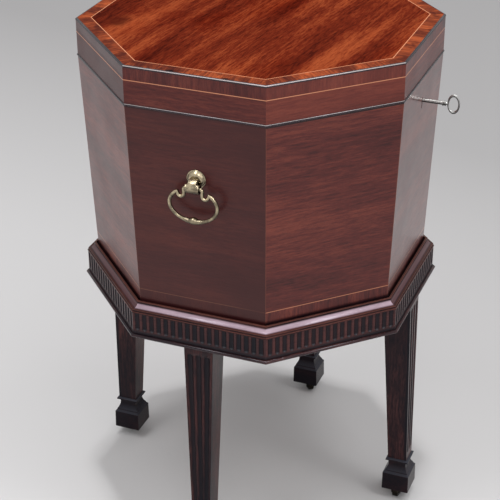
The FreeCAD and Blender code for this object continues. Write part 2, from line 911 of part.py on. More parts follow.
def bolt():
    """The sliding bolt at rest, drawn back: a bar with two hooks and the talon for the key."""
    middle = lock_middle_y()
    y = (middle - bolt_thickness / 2, middle + bolt_thickness / 2)
    bar = bolt_range_z()
    hook = hook_range_z()
    post_gap = staple_thickness / 2 + bolt_throw + 2 * lock_play
    right_tooth = talon_half + tooth_width
    pieces = [brick((-bolt_reach, bolt_reach + bolt_end_margin - bolt_throw), y, bar)]
    for place in (-staple_offset, staple_offset):
        post = place - post_gap
        tip = place - staple_thickness / 2 - hook_gap
        pieces.append(brick((post - post_width, post), y, (bar[0], hook[1])))
        pieces.append(brick((post - post_width, tip), y, hook))
    tooth_z = (key_z + bit_reach - talon_depth, bar[1])
    pieces.append(brick((talon_half, right_tooth), y, tooth_z))
    left_tooth = -talon_half - bolt_throw
    pieces.append(brick((left_tooth - tooth_width, left_tooth), y, tooth_z))
    return pieces[0].fuse(pieces[1:]).removeSplitter()


def link_plate_recess():
    """The shallow recess in the lid's front wall for the link plate."""
    _, y, _ = lock_range()
    top = joint_z + leaf_gap + link_plate_thickness
    width = selvedge_length + 2 * joinery_clearance
    return brick(centred(width), (y[0] - joinery_clearance, 0), (joint_z - overshoot, top))


def link_plate():
    """The plate under the lid's front wall, with the two staples that enter the lock."""
    _, y, _ = lock_range()
    level = joint_z + leaf_gap
    plate = brick(centred(selvedge_length), y, (level, level + link_plate_thickness))
    middle = lock_middle_y()
    eye = (hook_range_z()[0] - lock_play, hook_range_z()[1] + lock_play)
    half = staple_width / 2
    hole = half - staple_wall
    staples = []
    for place in (-staple_offset, staple_offset):
        x = (place - staple_thickness / 2, place + staple_thickness / 2)
        loop = brick(x, (middle - half, middle + half), (joint_z - staple_reach, level))
        staples.append(loop.cut(brick(x, (middle - hole, middle + hole), eye)))
    return plate.fuse(staples)


def bow_plate(inset):
    """An upright oval plate in the plane of the key's bow, its rim moved in by inset."""
    middle = Vector(0, -key_bow_centre, key_z)
    ellipse = Part.Ellipse(
        middle + up * (key_bow_half_height - inset),
        middle + Vector(0, key_bow_half_width - inset, 0), middle,
    )
    disc = Part.Face(Part.Wire(ellipse.toShape()))
    disc.translate(Vector(-key_bow_wire_radius, 0, 0))
    return disc.extrude(Vector(2 * key_bow_wire_radius, 0, 0))


def key():
    """The pipe key as it stands in the lock, bit down, its bow upright."""
    _, y, _ = lock_range()
    tip = y[1] - lock_wall - key_tip_gap
    ahead = Vector(0, -1, 0)

    def on_axis(y_place):
        return Vector(0, y_place, key_z)

    shaft = rod(key_shaft_radius, on_axis(tip), on_axis(-key_shaft_end))
    ring_length = key_collar_length / len(key_collar_radii)
    rings = []
    for i, radius in enumerate(key_collar_radii):
        start = on_axis(-key_shaft_end - i * ring_length)
        rings.append(Part.makeCylinder(radius, ring_length, start, ahead))
    neck = Part.makeCone(
        key_shaft_radius, key_neck_radius, key_neck_length, on_axis(-key_collar_end), ahead
    )
    bow = bow_plate(0).cut(bow_plate(2 * key_bow_wire_radius))
    bit = brick(centred(bit_thickness), (tip - bit_width, tip), (key_z - bit_reach, key_z))
    pipe = rod(key_pipe_radius, on_axis(tip + overshoot), on_axis(y[0]))
    return shaft.fuse(rings + [neck, bow, bit]).cut(pipe)


# ---------------------------------------------------------------- handle pieces
def rosette():
    """The domed round plate behind the handle, flat on the case."""
    rim = (rosette_rim, rosette_radius)
    crown = (rosette_height, rosette_crown_radius)
    bow = bowed(rim, crown, rosette_bow)

    def at(point):
        return Vector(point[0], 0, point[1])

    corners = [
        crown, (rosette_height, handle_bolt_radius), (0, handle_bolt_radius), (0, rosette_radius),
        rim,
    ]
    edges = [Part.LineSegment(at(a), at(b)).toShape() for a, b in zip(corners, corners[1:])]
    edges.append(Part.Arc(at(rim), at(bow), at(crown)).toShape())
    return Part.Face(Part.Wire(edges)).revolve(origin, Vector(1, 0, 0), 360)


def handle_neck():
    """The neck from the rosette to the barrel, swept over the barrel's top."""
    angle = math.radians(strap_end_angle)
    touch = (
        barrel_reach + barrel_radius * math.cos(angle),
        barrel_radius * math.sin(angle) - barrel_drop,
    )
    shoulder = (rosette_height + neck_straight, neck_rise)
    bow = bowed(touch, shoulder, neck_bow)
    corners = [
        touch, (barrel_reach, -barrel_drop), (barrel_reach - barrel_radius, -neck_throat_drop),
        (rosette_height, -neck_fall), (rosette_height, neck_rise), shoulder,
    ]

    def at(point):
        return Vector(point[0], -neck_width / 2, point[1])

    edges = [Part.LineSegment(at(a), at(b)).toShape() for a, b in zip(corners, corners[1:])]
    edges.append(Part.Arc(at(shoulder), at(bow), at(touch)).toShape())
    return Part.Face(Part.Wire(edges)).extrude(Vector(0, neck_width, 0))


def handle_post():
    """Bolt, neck and curled barrel of one handle, as one casting."""
    shank = rod(
        handle_bolt_radius, Vector(handle_bolt_inset - board_thickness, 0, 0),
        Vector(rosette_height + overshoot, 0, 0),
    )
    centre = Vector(barrel_reach, 0, -barrel_drop)
    side = Vector(0, barrel_length / 2, 0)
    barrel = rod(barrel_radius, centre - side, centre + side)
    strap_side = Vector(0, strap_width / 2, 0)
    strap = rod(barrel_radius + strap_thickness, centre - strap_side, centre + strap_side)
    wide = barrel_radius + overshoot
    strap_room = (barrel_reach, barrel_reach + wide)
    strap = strap.common(brick(strap_room, centred(strap_width), (-barrel_drop, wide - barrel_drop)))
    post = shank.fuse([barrel, handle_neck(), strap]).removeSplitter()
    bores = []
    for sign in (-1, 1):
        end = centre + Vector(0, sign * (barrel_length / 2 + overshoot), 0)
        start_y = barrel_length / 2 - bail_pin_depth - bail_pin_end_gap
        start = centre + Vector(0, sign * start_y, 0)
        bores.append(rod(bail_wire_radius + running_clearance, start, end))
    return post.cut(bores)


def handle_nut():
    """The round nut that draws the handle tight, inside its pocket."""
    high = nut_pocket_depth - board_thickness
    low = high - nut_height
    bolt_hole = rod(handle_bolt_radius, Vector(low - overshoot, 0, 0), Vector(0, 0, 0))
    return rod(nut_radius, Vector(low, 0, 0), Vector(high, 0, 0)).cut(bolt_hole)


def bail_path():
    """Points down the middle of one half of the bail, from its pin to the foot of the loop."""
    turn_y = bail_hook_start - bail_bend_radius
    hook_y = bail_hook_start + bail_hook_radius
    points = [(barrel_length / 2 - bail_pin_depth, 0.0)]
    bend_steps = 3
    for i in range(bend_steps + 1):
        turn = math.pi / 2 * (1 - i / bend_steps)
        points.append((
            turn_y + bail_bend_radius * math.cos(turn), bail_bend_radius * (math.sin(turn) - 1)
        ))
    hook_steps = 6
    for i in range(hook_steps + 1):
        turn = math.pi + math.radians(bail_hook_turn) * i / hook_steps
        points.append((
            hook_y + bail_hook_radius * math.cos(turn),
            bail_hook_radius * math.sin(turn) - bail_hook_drop,
        ))
    start = math.acos(bail_cusp_offset / bail_half_width)
    loop_steps = 9
    for i in range(loop_steps + 1):
        turn = start - (start + math.pi / 2) * i / loop_steps
        points.append((
            bail_half_width * math.cos(turn), bail_half_height * math.sin(turn) - bail_drop
        ))
    return [Vector(0, y, z) for y, z in points]


def loop_point(y):
    """The middle line of the lower half of the loop, at a distance y from its middle."""
    height = bail_half_height * math.sqrt(1 - (y / bail_half_width) ** 2)
    return Vector(0, y, -bail_drop - height)


def wire_ring(middle, radius):
    """Eight corners round a wire that runs along Y."""
    turns = [(i + 0.5) * math.pi / 4 for i in range(8)]
    return [middle + Vector(math.cos(turn), 0, math.sin(turn)) * radius for turn in turns]


def bail_wire():
    """The swan-necked bail, drawn about its pivot: an eight-sided wire that swells to a knop."""
    half = bail_path()
    other = [Vector(0, -point.y, point.z) for point in reversed(half[:-1])]
    ring = wire_ring(half[0], bail_wire_radius)
    spine = Part.makePolygon(half + other)
    wire = spine.makePipeShell([Part.makePolygon(ring + ring[:1])], True, True, 1)
    buried = bail_wire_radius - bail_grip_bury
    profile = (
        (-bail_grip_length, buried), (-bail_knop_length, bail_grip_radius),
        (0.0, bail_knop_radius), (bail_knop_length, bail_grip_radius), (bail_grip_length, buried),
    )
    rings = []
    for y, radius in profile:
        rise = max(0.0, radius - bail_grip_radius)
        rings.append(wire_ring(loop_point(y) + up * rise, radius))
    grip = faceted(*rings)
    return wire.fuse(grip)


def bail(name):
    """A whole bail hung in its barrel on the named side."""
    whole = bail_wire()
    tilt = math.atan(case_slope)
    reach = barrel_reach * math.cos(tilt) - barrel_drop * math.sin(tilt)
    drop = barrel_reach * math.sin(tilt) + barrel_drop * math.cos(tilt)
    whole.translate(Vector(case_apothem(handle_z) + reach, 0, handle_z - drop))
    return turned(whole, 0.0 if name == "right" else half_turn)


# ---------------------------------------------------------------- all pieces
pieces = {}
rail = fluted_rail()
plate = castor_plate()
horn = castor_horn()
wheel = castor_wheel()
one_leg = leg()
one_foot = foot()
for side in side_names:
    pieces["stand_rail_" + side] = on_side(rail, side)
    pieces["case_board_" + side] = stave(side)
for side in leg_sides:
    pieces["leg_" + side] = on_side(one_leg, side)
    pieces["spade_foot_" + side] = on_side(one_foot, side)
    pieces["castor_horn_" + side] = under_leg(horn, side)
    pieces["castor_wheel_" + side] = under_leg(wheel, side)
pieces["stand_top_moulding"] = around(top_moulding())
pieces["stand_bottom_bead"] = around(bottom_bead())
pieces["stand_glue_blocks"] = around(glue_block())
pieces["castor_plates"] = Part.makeCompound([under_leg(plate, side) for side in leg_sides])
pieces["case_bottom"] = case_bottom()
pieces["lead_liner"] = liner()
pieces["bottle_dividers_lengthwise"] = dividers(True, True)
pieces["bottle_dividers_crosswise"] = dividers(False, False)
pieces["case_hinge_leaves"] = hinge_leaves(False)
pieces["hinge_pins"] = hinge_pins()
pieces["lock_case"] = lock_case()
pieces["lock_bolt"] = bolt()
pieces["key"] = key()
pieces["lid_board"] = lid_board()
pieces["lid_walls"] = lid_walls()
pieces["lid_lip_bead"] = lip_beads()
pieces["lid_edge_bead"] = around(edge_bead())
pieces["lid_hinge_leaves"] = hinge_leaves(True)
pieces["lock_link_plate"] = link_plate()
handle_pieces = {"rosettes": rosette(), "nuts": handle_nut(), "posts": handle_post()}
for kind, shape in handle_pieces.items():
    pair = [on_case_face(shape, side) for side in ("left", "right")]
    pieces["handle_" + kind] = Part.makeCompound(pair)
for side in ("left", "right"):
    pieces["bail_" + side] = bail(side)

os.makedirs("parts", exist_ok=True)
for node, shape in pieces.items():
    shape.exportStep("parts/" + node + ".step")
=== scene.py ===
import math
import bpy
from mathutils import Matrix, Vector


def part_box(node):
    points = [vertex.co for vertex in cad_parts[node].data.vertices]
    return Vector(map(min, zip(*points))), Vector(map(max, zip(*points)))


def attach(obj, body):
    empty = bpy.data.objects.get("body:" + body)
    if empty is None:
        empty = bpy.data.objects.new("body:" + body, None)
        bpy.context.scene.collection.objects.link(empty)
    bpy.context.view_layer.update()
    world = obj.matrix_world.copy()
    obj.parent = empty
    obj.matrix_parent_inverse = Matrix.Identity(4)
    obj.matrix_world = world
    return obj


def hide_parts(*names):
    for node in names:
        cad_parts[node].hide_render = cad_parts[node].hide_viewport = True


bl_info = {
    "name": "Octagonal cellarette",
    "version": (1, 0, 0),
    "blender": (4, 5, 0),
    "location": "3D View > Sidebar > Cellarette",
    "description": "Dresses the frame of an octagonal cellarette in veneer, inlay, brass and lead",
    "category": "Add Mesh",
}

from functools import cached_property

import bpy
from bpy.props import FloatProperty, FloatVectorProperty, IntProperty, PointerProperty
from mathutils import Euler, Matrix, Vector

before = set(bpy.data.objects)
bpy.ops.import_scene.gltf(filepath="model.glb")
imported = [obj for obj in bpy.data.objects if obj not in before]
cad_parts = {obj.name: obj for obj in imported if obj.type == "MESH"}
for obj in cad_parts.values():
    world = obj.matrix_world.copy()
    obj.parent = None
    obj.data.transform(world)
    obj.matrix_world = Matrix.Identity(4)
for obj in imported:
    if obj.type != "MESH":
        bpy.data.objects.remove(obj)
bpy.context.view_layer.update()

# ------------------------------------------------------------------ units and names
mm = 0.001
# Points closer than weld are made one, and hair is how far past a height a point has to be.
weld = 0.001 * mm
hair = 0.01 * mm
corner_tangent = math.tan(math.pi / 8)
side_names = (
    "front", "front_right", "right", "back_right", "back", "back_left", "left", "front_left",
)
leg_sides = ("front", "right", "back", "left")

# ------------------------------------------------------------------ places taken from the frame
# A reach is the distance of a face from the cellarette's upright axis.
rail_low, rail_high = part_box("stand_rail_front")
frieze_reach = -rail_low.y
rail_z = rail_low.z
moulding_z = rail_high.z
stand_top_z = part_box("stand_top_moulding")[1].z
moulding_reach = -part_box("stand_top_moulding")[0].y
bead_reach = -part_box("stand_bottom_bead")[0].y
bead_top_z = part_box("stand_bottom_bead")[1].z
foot_low, foot_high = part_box("spade_foot_front")
foot_reach = -(foot_low.y + foot_high.y) / 2
foot_half = (foot_high.x - foot_low.x) / 2
leg_z = foot_high.z
leg_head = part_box("leg_front")[1].z
case_low, case_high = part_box("case_board_front")
case_reach = -case_low.y
seat_z = case_low.z
joint_z = case_high.z
front_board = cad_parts["case_board_front"]
board_points = [front_board.matrix_world @ point.co for point in front_board.data.vertices]
case_foot_reach = max(-point.y for point in board_points if point.z < seat_z + hair)
case_lean = (case_reach - case_foot_reach) / (joint_z - seat_z)
top_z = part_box("lid_board")[1].z
lip_top_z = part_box("lid_lip_bead")[1].z
lip_reach = -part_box("lid_lip_bead")[0].y
edge_reach = -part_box("lid_edge_bead")[0].y
edge_low_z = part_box("lid_edge_bead")[0].z


# ------------------------------------------------------------------ sizes and colours to change
def length(name, description, default):
    """A length that the panel shows with its unit."""
    return FloatProperty(
        name=name, description=description, default=default, subtype="DISTANCE", unit="LENGTH",
        precision=5,
    )


def tint(name, description, default):
    """A colour that the panel shows as a swatch."""
    return FloatVectorProperty(
        name=name, description=description, default=default, subtype="COLOR", size=3, min=0.0,
        max=1.0,
    )


class StandSizes(bpy.types.PropertyGroup):
    rail_thickness: length("Rail thickness", "Thickness of the frieze rails", 22 * mm)
    socket_gap: length("Socket wall", "Wood left outside the rebate that takes the case", 11.7 * mm)
    flute_count: IntProperty(name="Flutes", description="Flutes on one rail", default=18, min=1)
    flute_margin: length("Flute margin", "Plain wood between the last flute and a corner", 1.18 * mm)
    flute_width: length("Flute width", "Width of a frieze flute on the face", 7.2 * mm)
    flute_depth: length("Flute depth", "Depth of a frieze flute", 2.2 * mm)
    flute_foot: length("Flute foot", "Plain wood under the frieze flutes", 10 * mm)
    lip_width: length("Lip width", "Width of the moulding's upper lip", 3.0 * mm)
    lip_height: length("Lip height", "Height of the moulding's upper lip", 2.9 * mm)
    fillet_step: length("Fillet step", "Step between the moulding's two fillets", 1.2 * mm)
    fillet_top: length("Lower fillet", "Height of the moulding's lower fillet", 2.1 * mm)
    cove_foot: length("Cove foot", "Height at which the cove starts", 5.0 * mm)
    cove_sag: length("Cove depth", "Depth of the cove under its chord", 1.1 * mm)


class LegSizes(bpy.types.PropertyGroup):
    top_width: length("Top width", "Width of a leg under the rail", 42 * mm)
    top_depth: length("Top depth", "Depth of a leg under the rail", 39.6 * mm)
    projection: length("Projection", "How far a leg stands out under the rail", 0.8 * mm)
    foot_width: length("Foot width", "Width of a leg above its foot", 27.6 * mm)
    foot_depth: length("Foot depth", "Depth of a leg above its foot", 28.5 * mm)
    splay: length("Splay", "How much further out a leg stands at its foot", 4.8 * mm)
    flute_share: FloatProperty(
        name="Flute width", description="Width of a flute as a share of the leg's", default=0.22,
    )
    flute_pitch_share: FloatProperty(
        name="Flute pitch", description="Pitch of the flutes as a share of the leg's width",
        default=0.297,
    )
    flute_depth_share: FloatProperty(
        name="Flute depth", description="Depth of a flute as a share of the leg's width",
        default=0.066,
    )
    flute_top_margin: length("Top margin", "Plain wood over the leg's flutes", 8.5 * mm)
    flute_foot_margin: length("Foot margin", "Plain wood under the leg's flutes", 13 * mm)
    block_height: length("Foot block", "Height of a foot's block", 28.5 * mm)
    block_top_half: length("Block top", "Half the width of a foot's block at its top", 20.0 * mm)
    shoulder_half: length("Shoulder", "Half the width of the fillet over the block", 17.4 * mm)
    shoulder_height: length("Shoulder height", "Height of the slope over the block", 3.2 * mm)
    fillet_height: length("Fillet", "Height of the fillet over the shoulder", 1.2 * mm)
    ankle_hollow: length("Ankle hollow", "Depth of the hollow over the fillet", 2.3 * mm)
    collar_projection: length("Collar", "How far a foot's collar stands out", 3.4 * mm)
    collar_thickness: length("Collar thickness", "Height of a foot's collar", 3.8 * mm)
    collar_bevel: length("Collar bevel", "Height of the slope on the collar", 1.8 * mm)
    recess_radius: length("Castor recess", "Radius of the recess under a foot", 15.5 * mm)
    recess_depth: length("Recess depth", "Depth of the recess under a foot", 10 * mm)
    wheel_width: length("Wheel width", "Width of a castor wheel", 9.0 * mm)
    wheel_chamfer: length("Wheel edge", "Rounding of the castor wheel's tread", 1.4 * mm)
    wheel_hub: length("Wheel hub", "Radius of a castor wheel's hub", 3.2 * mm)
    wheel_rim: length("Wheel rim", "Width of the flat rim on a wheel's face", 2.2 * mm)
    wheel_dish: length("Wheel dish", "Depth of the dish in a wheel's face", 0.8 * mm)


class InlaySizes(bpy.types.PropertyGroup):
    string_width: length("String", "Width of the boxwood strings", 1.0 * mm)
    lid_border: length("Lid border", "Distance of the string on the lid from the middle", 210.3 * mm)
    lid_string_z: length("Lid side string", "Height of the string round the lid", 715.2 * mm)
    case_string_z: length("Case string", "Height of the string at the foot of the case", 411.3 * mm)
    corner_string: length("Corner string", "Width of the stringing on the corners", 1.0 * mm)
    knot_x: length("Knot X", "Place of the knot in the lid's veneer", -87 * mm)
    knot_y: length("Knot Y", "Place of the knot in the lid's veneer", 170 * mm)
    chip_x: length("Chip X", "Place of a blackened chip at the lid's edge", -226 * mm)
    chip_y: length("Chip Y", "Place of a blackened chip at the lid's edge", 32 * mm)
    second_chip_x: length("Second chip X", "Place of the second chip", -226 * mm)
    second_chip_y: length("Second chip Y", "Place of the second chip", -41 * mm)
    chip_radius: length("Chip", "Radius of a chip at the lid's edge", 7 * mm)
    knot_radius: length("Knot", "Radius of the knot in the lid's veneer", 19 * mm)


class HandleSizes(bpy.types.PropertyGroup):
    rosette_radius: length("Rosette", "Radius of the rosette", 13.2 * mm)
    rosette_height: length("Rosette height", "Height of the rosette's crown", 5 * mm)
    step_width: length("Rosette step", "Width of the rosette's stepped rim", 1.7 * mm)
    step_height: length("Step height", "Height of the rosette's stepped rim", 1.9 * mm)
    crown_radius: length("Rosette crown", "Radius of the rosette's flat crown", 7.2 * mm)
    post_bevel: length("Post edge", "Rounding of the cast post's edges", 0.45 * mm)
    barrel_length: length("Barrel", "Length of the barrel that holds the bail", 19 * mm)
    barrel_radius: length("Barrel radius", "Radius of the barrel", 6.3 * mm)
    barrel_edge: length("Barrel edge", "Bevel at the barrel's ends", 0.6 * mm)
    pin_depth: length("Pin", "Depth of the bail's pins in the barrel", 6 * mm)
    wire_radius: length("Bail wire", "Radius of the bail at its pins", 2.5 * mm)
    grip_radius: length("Bail grip", "Radius of the bail at its grip", 3.9 * mm)
    grip_length: length("Grip length", "Half the length of the thick part of the bail", 18 * mm)
    knop_rise: length("Knop", "How far the knop stands out of the grip", 1.1 * mm)
    knop_length: length("Knop length", "Half the length of the knop", 6 * mm)
    half_width: length("Bail half width", "Half the width of the bail's loop", 33 * mm)
    half_height: length("Bail half height", "Half the height of the bail's loop", 23.1 * mm)
    drop: length("Bail drop", "How far the loop's middle hangs under the pins", 23.5 * mm)
    cusp_offset: length("Bail cusp", "Distance of the cusps from the middle", 21.9 * mm)
    hook_radius: length("Hook", "Radius of the bail's hooks", 4.2 * mm)
    hook_start: length("Hook start", "Distance of the hook's outer leg from the middle", 12.6 * mm)
    bend_radius: length("Bend", "Radius of the bend behind each pin", 2.4 * mm)
    hook_drop: length("Hook drop", "How far the hooks' middle hangs under the pins", 8.9 * mm)


class MetalworkSizes(bpy.types.PropertyGroup):
    hinge_length: length("Hinge", "Length of one butt hinge", 45 * mm)
    shaft_radius: length("Shaft", "Radius of the key's shaft", 2.6 * mm)
    shaft_end: length("Shaft end", "Distance of the shaft's collar from the middle", 256 * mm)
    collar_groove: length("Collar groove", "Depth of the grooves in the collar", 0.7 * mm)
    collar_end: length("Collar end", "Distance of the collar's end from the middle", 260.5 * mm)
    bow_centre: length("Bow place", "Distance of the bow's middle from the middle", 270.6 * mm)
    bow_half_width: length("Bow half width", "Half the bow's width", 8.5 * mm)
    bow_half_height: length("Bow half height", "Half the bow's height", 13 * mm)
    wire_radius: length("Bow wire", "Radius of the bow's wire", 1.15 * mm)
    bit_reach: length("Bit", "How far the bit reaches from the key's middle", 8 * mm)
    bit_thickness: length("Bit thickness", "Thickness of the bit", 2 * mm)
    bit_width: length("Bit width", "Width of the bit along the shaft", 4 * mm)
    pipe_radius: length("Pipe", "Radius of the key's pipe", 1.25 * mm)
    pipe_depth: length("Pipe depth", "Depth of the key's pipe", 9 * mm)
    neck_radius: length("Neck", "Radius of the shaft at the bow", 1.5 * mm)
    screw_radius: length("Screw head", "Radius of the small screw heads", 2.0 * mm)
    screw_slot: length("Screw slot", "Width of a screw's slot", 0.55 * mm)


class Colours(bpy.types.PropertyGroup):
    field_dark: tint("Lid field, dark", "Dark streaks of the lid's top", (0.046, 0.0065, 0.004))
    field_fair: tint("Lid field", "Body of the lid's top", (0.132, 0.018, 0.0075))
    field_light: tint("Lid field, light", "Light streaks of the lid's top", (0.29, 0.060, 0.020))
    border_dark: tint("Border, dark", "Dark patches of the crossband", (0.055, 0.014, 0.012))
    border_fair: tint("Border", "Body of the crossband", (0.19, 0.042, 0.019))
    border_light: tint("Border, light", "Light patches of the crossband", (0.42, 0.095, 0.032))
    case_dark: tint("Case, dark", "Dark flecks of the case", (0.040, 0.008, 0.009))
    case_fair: tint("Case", "Body of the case's mahogany", (0.098, 0.018, 0.016))
    case_light: tint("Case, light", "Light flecks of the case", (0.19, 0.042, 0.028))
    # The dark stand tone is also the painted shade in the flutes and at the case's seat and mouth.
    stand_dark: tint("Stand, dark", "Grime in the stand's flutes", (0.004, 0.004, 0.007))
    stand_fair: tint("Stand", "Body of the stand's mahogany", (0.022, 0.009, 0.010))
    # The light stand tone is also painted over the cove's hollow as painted light.
    stand_light: tint("Stand, light", "Worn edges of the stand", (0.085, 0.028, 0.025))
    foot: tint("Foot", "Blackened polish on the feet", (0.006, 0.006, 0.009))
    # This colour is a painted highlight on the upward faces of the feet.
    foot_worn: tint("Foot, worn", "Upper faces of the feet", (0.055, 0.058, 0.072))
    edge: tint("Rubbed edge", "Rubbed edges of the moulding", (0.20, 0.075, 0.055))
    # This colour is a painted highlight at the lower ends of the flutes.
    flute_foot_highlight: tint("Dust", "Grey wax at the lower ends of the flutes", (0.09, 0.09, 0.10))
    # This colour is a painted highlight in the cove, on the left and front-left sides.
    cove_highlight: tint("Wax bloom", "Old pale wax in the cove", (0.51, 0.37, 0.44))
    boxwood: tint("Boxwood", "The strings", (0.62, 0.26, 0.14))
    corner: tint("Corner string", "The stringing on the corners", (0.17, 0.05, 0.03))
    ebony: tint("Ebony", "The beads of the lid", (0.006, 0.006, 0.008))
    ebony_rubbed: tint("Ebony, rubbed", "Rubbed spots of the beads", (0.05, 0.045, 0.05))
    # This colour is a painted highlight on the beads' shoulders, on the left and front-left sides.
    ebony_highlight: tint("Ebony, worn", "Shoulder of the bead where hands wore it", (0.42, 0.38, 0.37))
    inside: tint("Inside wood", "Dividers and inner faces", (0.16, 0.062, 0.030))
    pine: tint("Pine", "Glue blocks", (0.38, 0.22, 0.10))
    lead: tint("Lead", "The lining", (0.20, 0.205, 0.215))
    oxide: tint("Lead oxide", "Pale clouds on the lining", (0.40, 0.41, 0.42))
    brass: tint("Handle brass", "Old lacquered brass", (1.0, 0.84, 0.56))
    # The tarnish colour is also the painted shade on brass faces that turn down or in.
    brass_dark: tint("Tarnish", "Dark tarnish on the brass", (0.055, 0.045, 0.035))
    steel: tint("Steel", "Key and lock", (0.74, 0.74, 0.72))
    steel_dull: tint("Steel, dull", "Clouds on the steel", (0.20, 0.19, 0.18))
    # This colour is the painted shade on the steel's lower faces.
    steel_dark: tint("Steel, dark", "Lower faces of the steel", (0.020, 0.019, 0.019))
    castor: tint("Castor brass", "Blackened brass of the castors", (0.09, 0.075, 0.05))
    # The castor grime colour is also the painted shade on castor faces that turn down or in.
    castor_dark: tint("Castor grime", "Grime on the castors", (0.015, 0.013, 0.011))


class StageSettings(bpy.types.PropertyGroup):
    camera_x: length("Camera X", "Place of the camera", -1757.56 * mm)
    camera_y: length("Camera Y", "Place of the camera", -679.84 * mm)
    camera_z: length("Camera Z", "Place of the camera", 1402.74 * mm)
    azimuth: FloatProperty(
        name="Azimuth", description="Direction from which the camera looks", subtype="ANGLE",
        default=math.radians(201.64),
    )
    elevation: FloatProperty(
        name="Elevation", description="How steeply the camera looks down", subtype="ANGLE",
        default=math.radians(28.572),
    )
    roll: FloatProperty(
        name="Roll", description="Turn of the camera about its axis", subtype="ANGLE",
        default=math.radians(-0.275),
    )
    lens: FloatProperty(name="Lens", description="Focal length in mm", default=105.99)
    floor_radius: length("Floor", "Radius of the floor", 9.0)
    floor_near: tint("Floor, near", "Floor in front", (0.71, 0.705, 0.708))
    floor_far: tint("Floor, far", "Floor behind", (0.40, 0.395, 0.398))
    fade_turn: FloatProperty(
        name="Fade turn", description="Turn of the floor's fade from the azimuth", subtype="ANGLE",
        default=math.radians(-40.0),
    )
    fade_start: length("Fade start", "Place where the far floor starts to fade", -1.2)
    fade_end: length("Fade end", "Place where the near floor is reached", 0.6)
    sky: tint("Sky", "Colour of the world", (1.0, 0.99, 0.995))
    ambient: FloatProperty(name="Ambient", description="Strength of the world", default=0.56)
    aim_height: length("Aim height", "Height at which the lights aim", 450 * mm)
    top_power: FloatProperty(name="Top light", description="Watts over the object", default=585.0)
    side_power: FloatProperty(name="Side light", description="Watts over the side", default=32.0)
    back_power: FloatProperty(name="Back light", description="Watts on the far left", default=22.0)
    front_power: FloatProperty(name="Front light", description="Watts in front", default=6.0)
    fill_power: FloatProperty(name="Fill light", description="Watts on the near side", default=6.0)


# ------------------------------------------------------------------ modelling, as by hand
def rest():
    """Object mode, with nothing selected."""
    if bpy.context.mode != "OBJECT":
        bpy.ops.object.mode_set(mode="OBJECT")
    bpy.ops.object.select_all(action="DESELECT")


def pick(piece):
    """Select one piece alone and make it active."""
    rest()
    piece.select_set(True)
    bpy.context.view_layer.objects.active = piece


def finished(name, sharp=35.0):
    """Leave edit mode: normals outside, the place in the mesh, smooth but for sharp edges."""
    bpy.ops.mesh.select_all(action="SELECT")
    bpy.ops.mesh.remove_doubles(threshold=weld)
    bpy.ops.mesh.normals_make_consistent(inside=False)
    bpy.ops.object.mode_set(mode="OBJECT")
    bpy.ops.object.transform_apply(location=True, rotation=True, scale=True)
    bpy.ops.object.shade_smooth_by_angle(angle=math.radians(sharp))
    return named(bpy.context.object, name)


def choose_faces(wanted):
    """Select, in edit mode, only the faces whose middle and normal are wanted."""
    bpy.ops.mesh.select_mode(type="FACE")
    bpy.ops.mesh.select_all(action="DESELECT")
    bpy.ops.object.mode_set(mode="OBJECT")
    piece = bpy.context.object
    for face in piece.data.polygons:
        face.select = wanted(piece.matrix_world @ face.center, face.normal)
    bpy.ops.object.mode_set(mode="EDIT")


def choose_points(wanted):
    """Select, in edit mode, only the vertices whose place is wanted."""
    bpy.ops.mesh.select_mode(type="VERT")
    bpy.ops.mesh.select_all(action="DESELECT")
    bpy.ops.object.mode_set(mode="OBJECT")
    piece = bpy.context.object
    for point in piece.data.vertices:
        point.select = wanted(piece.matrix_world @ point.co)
    bpy.ops.object.mode_set(mode="EDIT")


def shares(steps):
    """Even steps from 0 to 1, with both ends."""
    return [i / steps for i in range(steps + 1)]


def arc(centre, radius, start, end, steps):
    """Points of an arc, as (reach, height), from start to end in degrees."""
    turns = [math.radians(start + (end - start) * share) for share in shares(steps)]
    return [(centre[0] + radius * math.cos(t), centre[1] + radius * math.sin(t)) for t in turns]


def grow(profile, extrude):
    """Extrude the selection through a profile of (reach, height) about the upright axis."""
    for (old, low), (new, high) in zip(profile, profile[1:]):
        extrude(TRANSFORM_OT_translate={"value": (0, 0, high - low)})
        share = new / old
        bpy.ops.transform.resize(value=(share, share, 1), center_override=(0, 0, high))


def polygon(corners, reach, height, fill):
    """A regular polygon about the upright axis with its sides at a reach, left in edit mode."""
    rest()
    bpy.ops.mesh.primitive_circle_add(
        vertices=corners, radius=reach / math.cos(math.pi / corners), fill_type=fill,
        location=(0, 0, height), rotation=(0, 0, math.pi / corners), enter_editmode=True,
    )


def run_round(name, profile):
    """A moulding mitred round the octagon, from a closed profile of (reach, height)."""
    reach, height = profile[0]
    polygon(8, reach, height, "NOTHING")
    grow(profile, bpy.ops.mesh.extrude_edges_move)
    bpy.ops.mesh.select_all(action="DESELECT")
    bpy.ops.mesh.select_non_manifold()
    bpy.ops.mesh.bridge_edge_loops()
    return finished(name)


def squared(name, profile):
    """A solid of square plan, from a profile of (half width, height)."""
    half, height = profile[0]
    polygon(4, half, height, "NGON")
    grow(profile, bpy.ops.mesh.extrude_region_move)
    return finished(name)


def turned(name, profile, steps=32):
    """A solid turned about the upright axis, from an open profile of (radius, height)."""
    rest()
    radius, height = profile[0]
    bpy.ops.mesh.primitive_circle_add(
        vertices=steps, radius=radius, fill_type="NGON", location=(0, 0, height),
        enter_editmode=True,
    )
    grow(profile, bpy.ops.mesh.extrude_region_move)
    return finished(name)


def block(name, low, high):
    """A plain block between two corners, left in edit mode for shaping."""
    rest()
    middle = (Vector(low) + Vector(high)) / 2
    bpy.ops.mesh.primitive_cube_add(size=1, location=middle, enter_editmode=True)
    bpy.ops.transform.resize(value=Vector(high) - Vector(low), center_override=middle)
    bpy.context.object.name = name
    return bpy.context.object


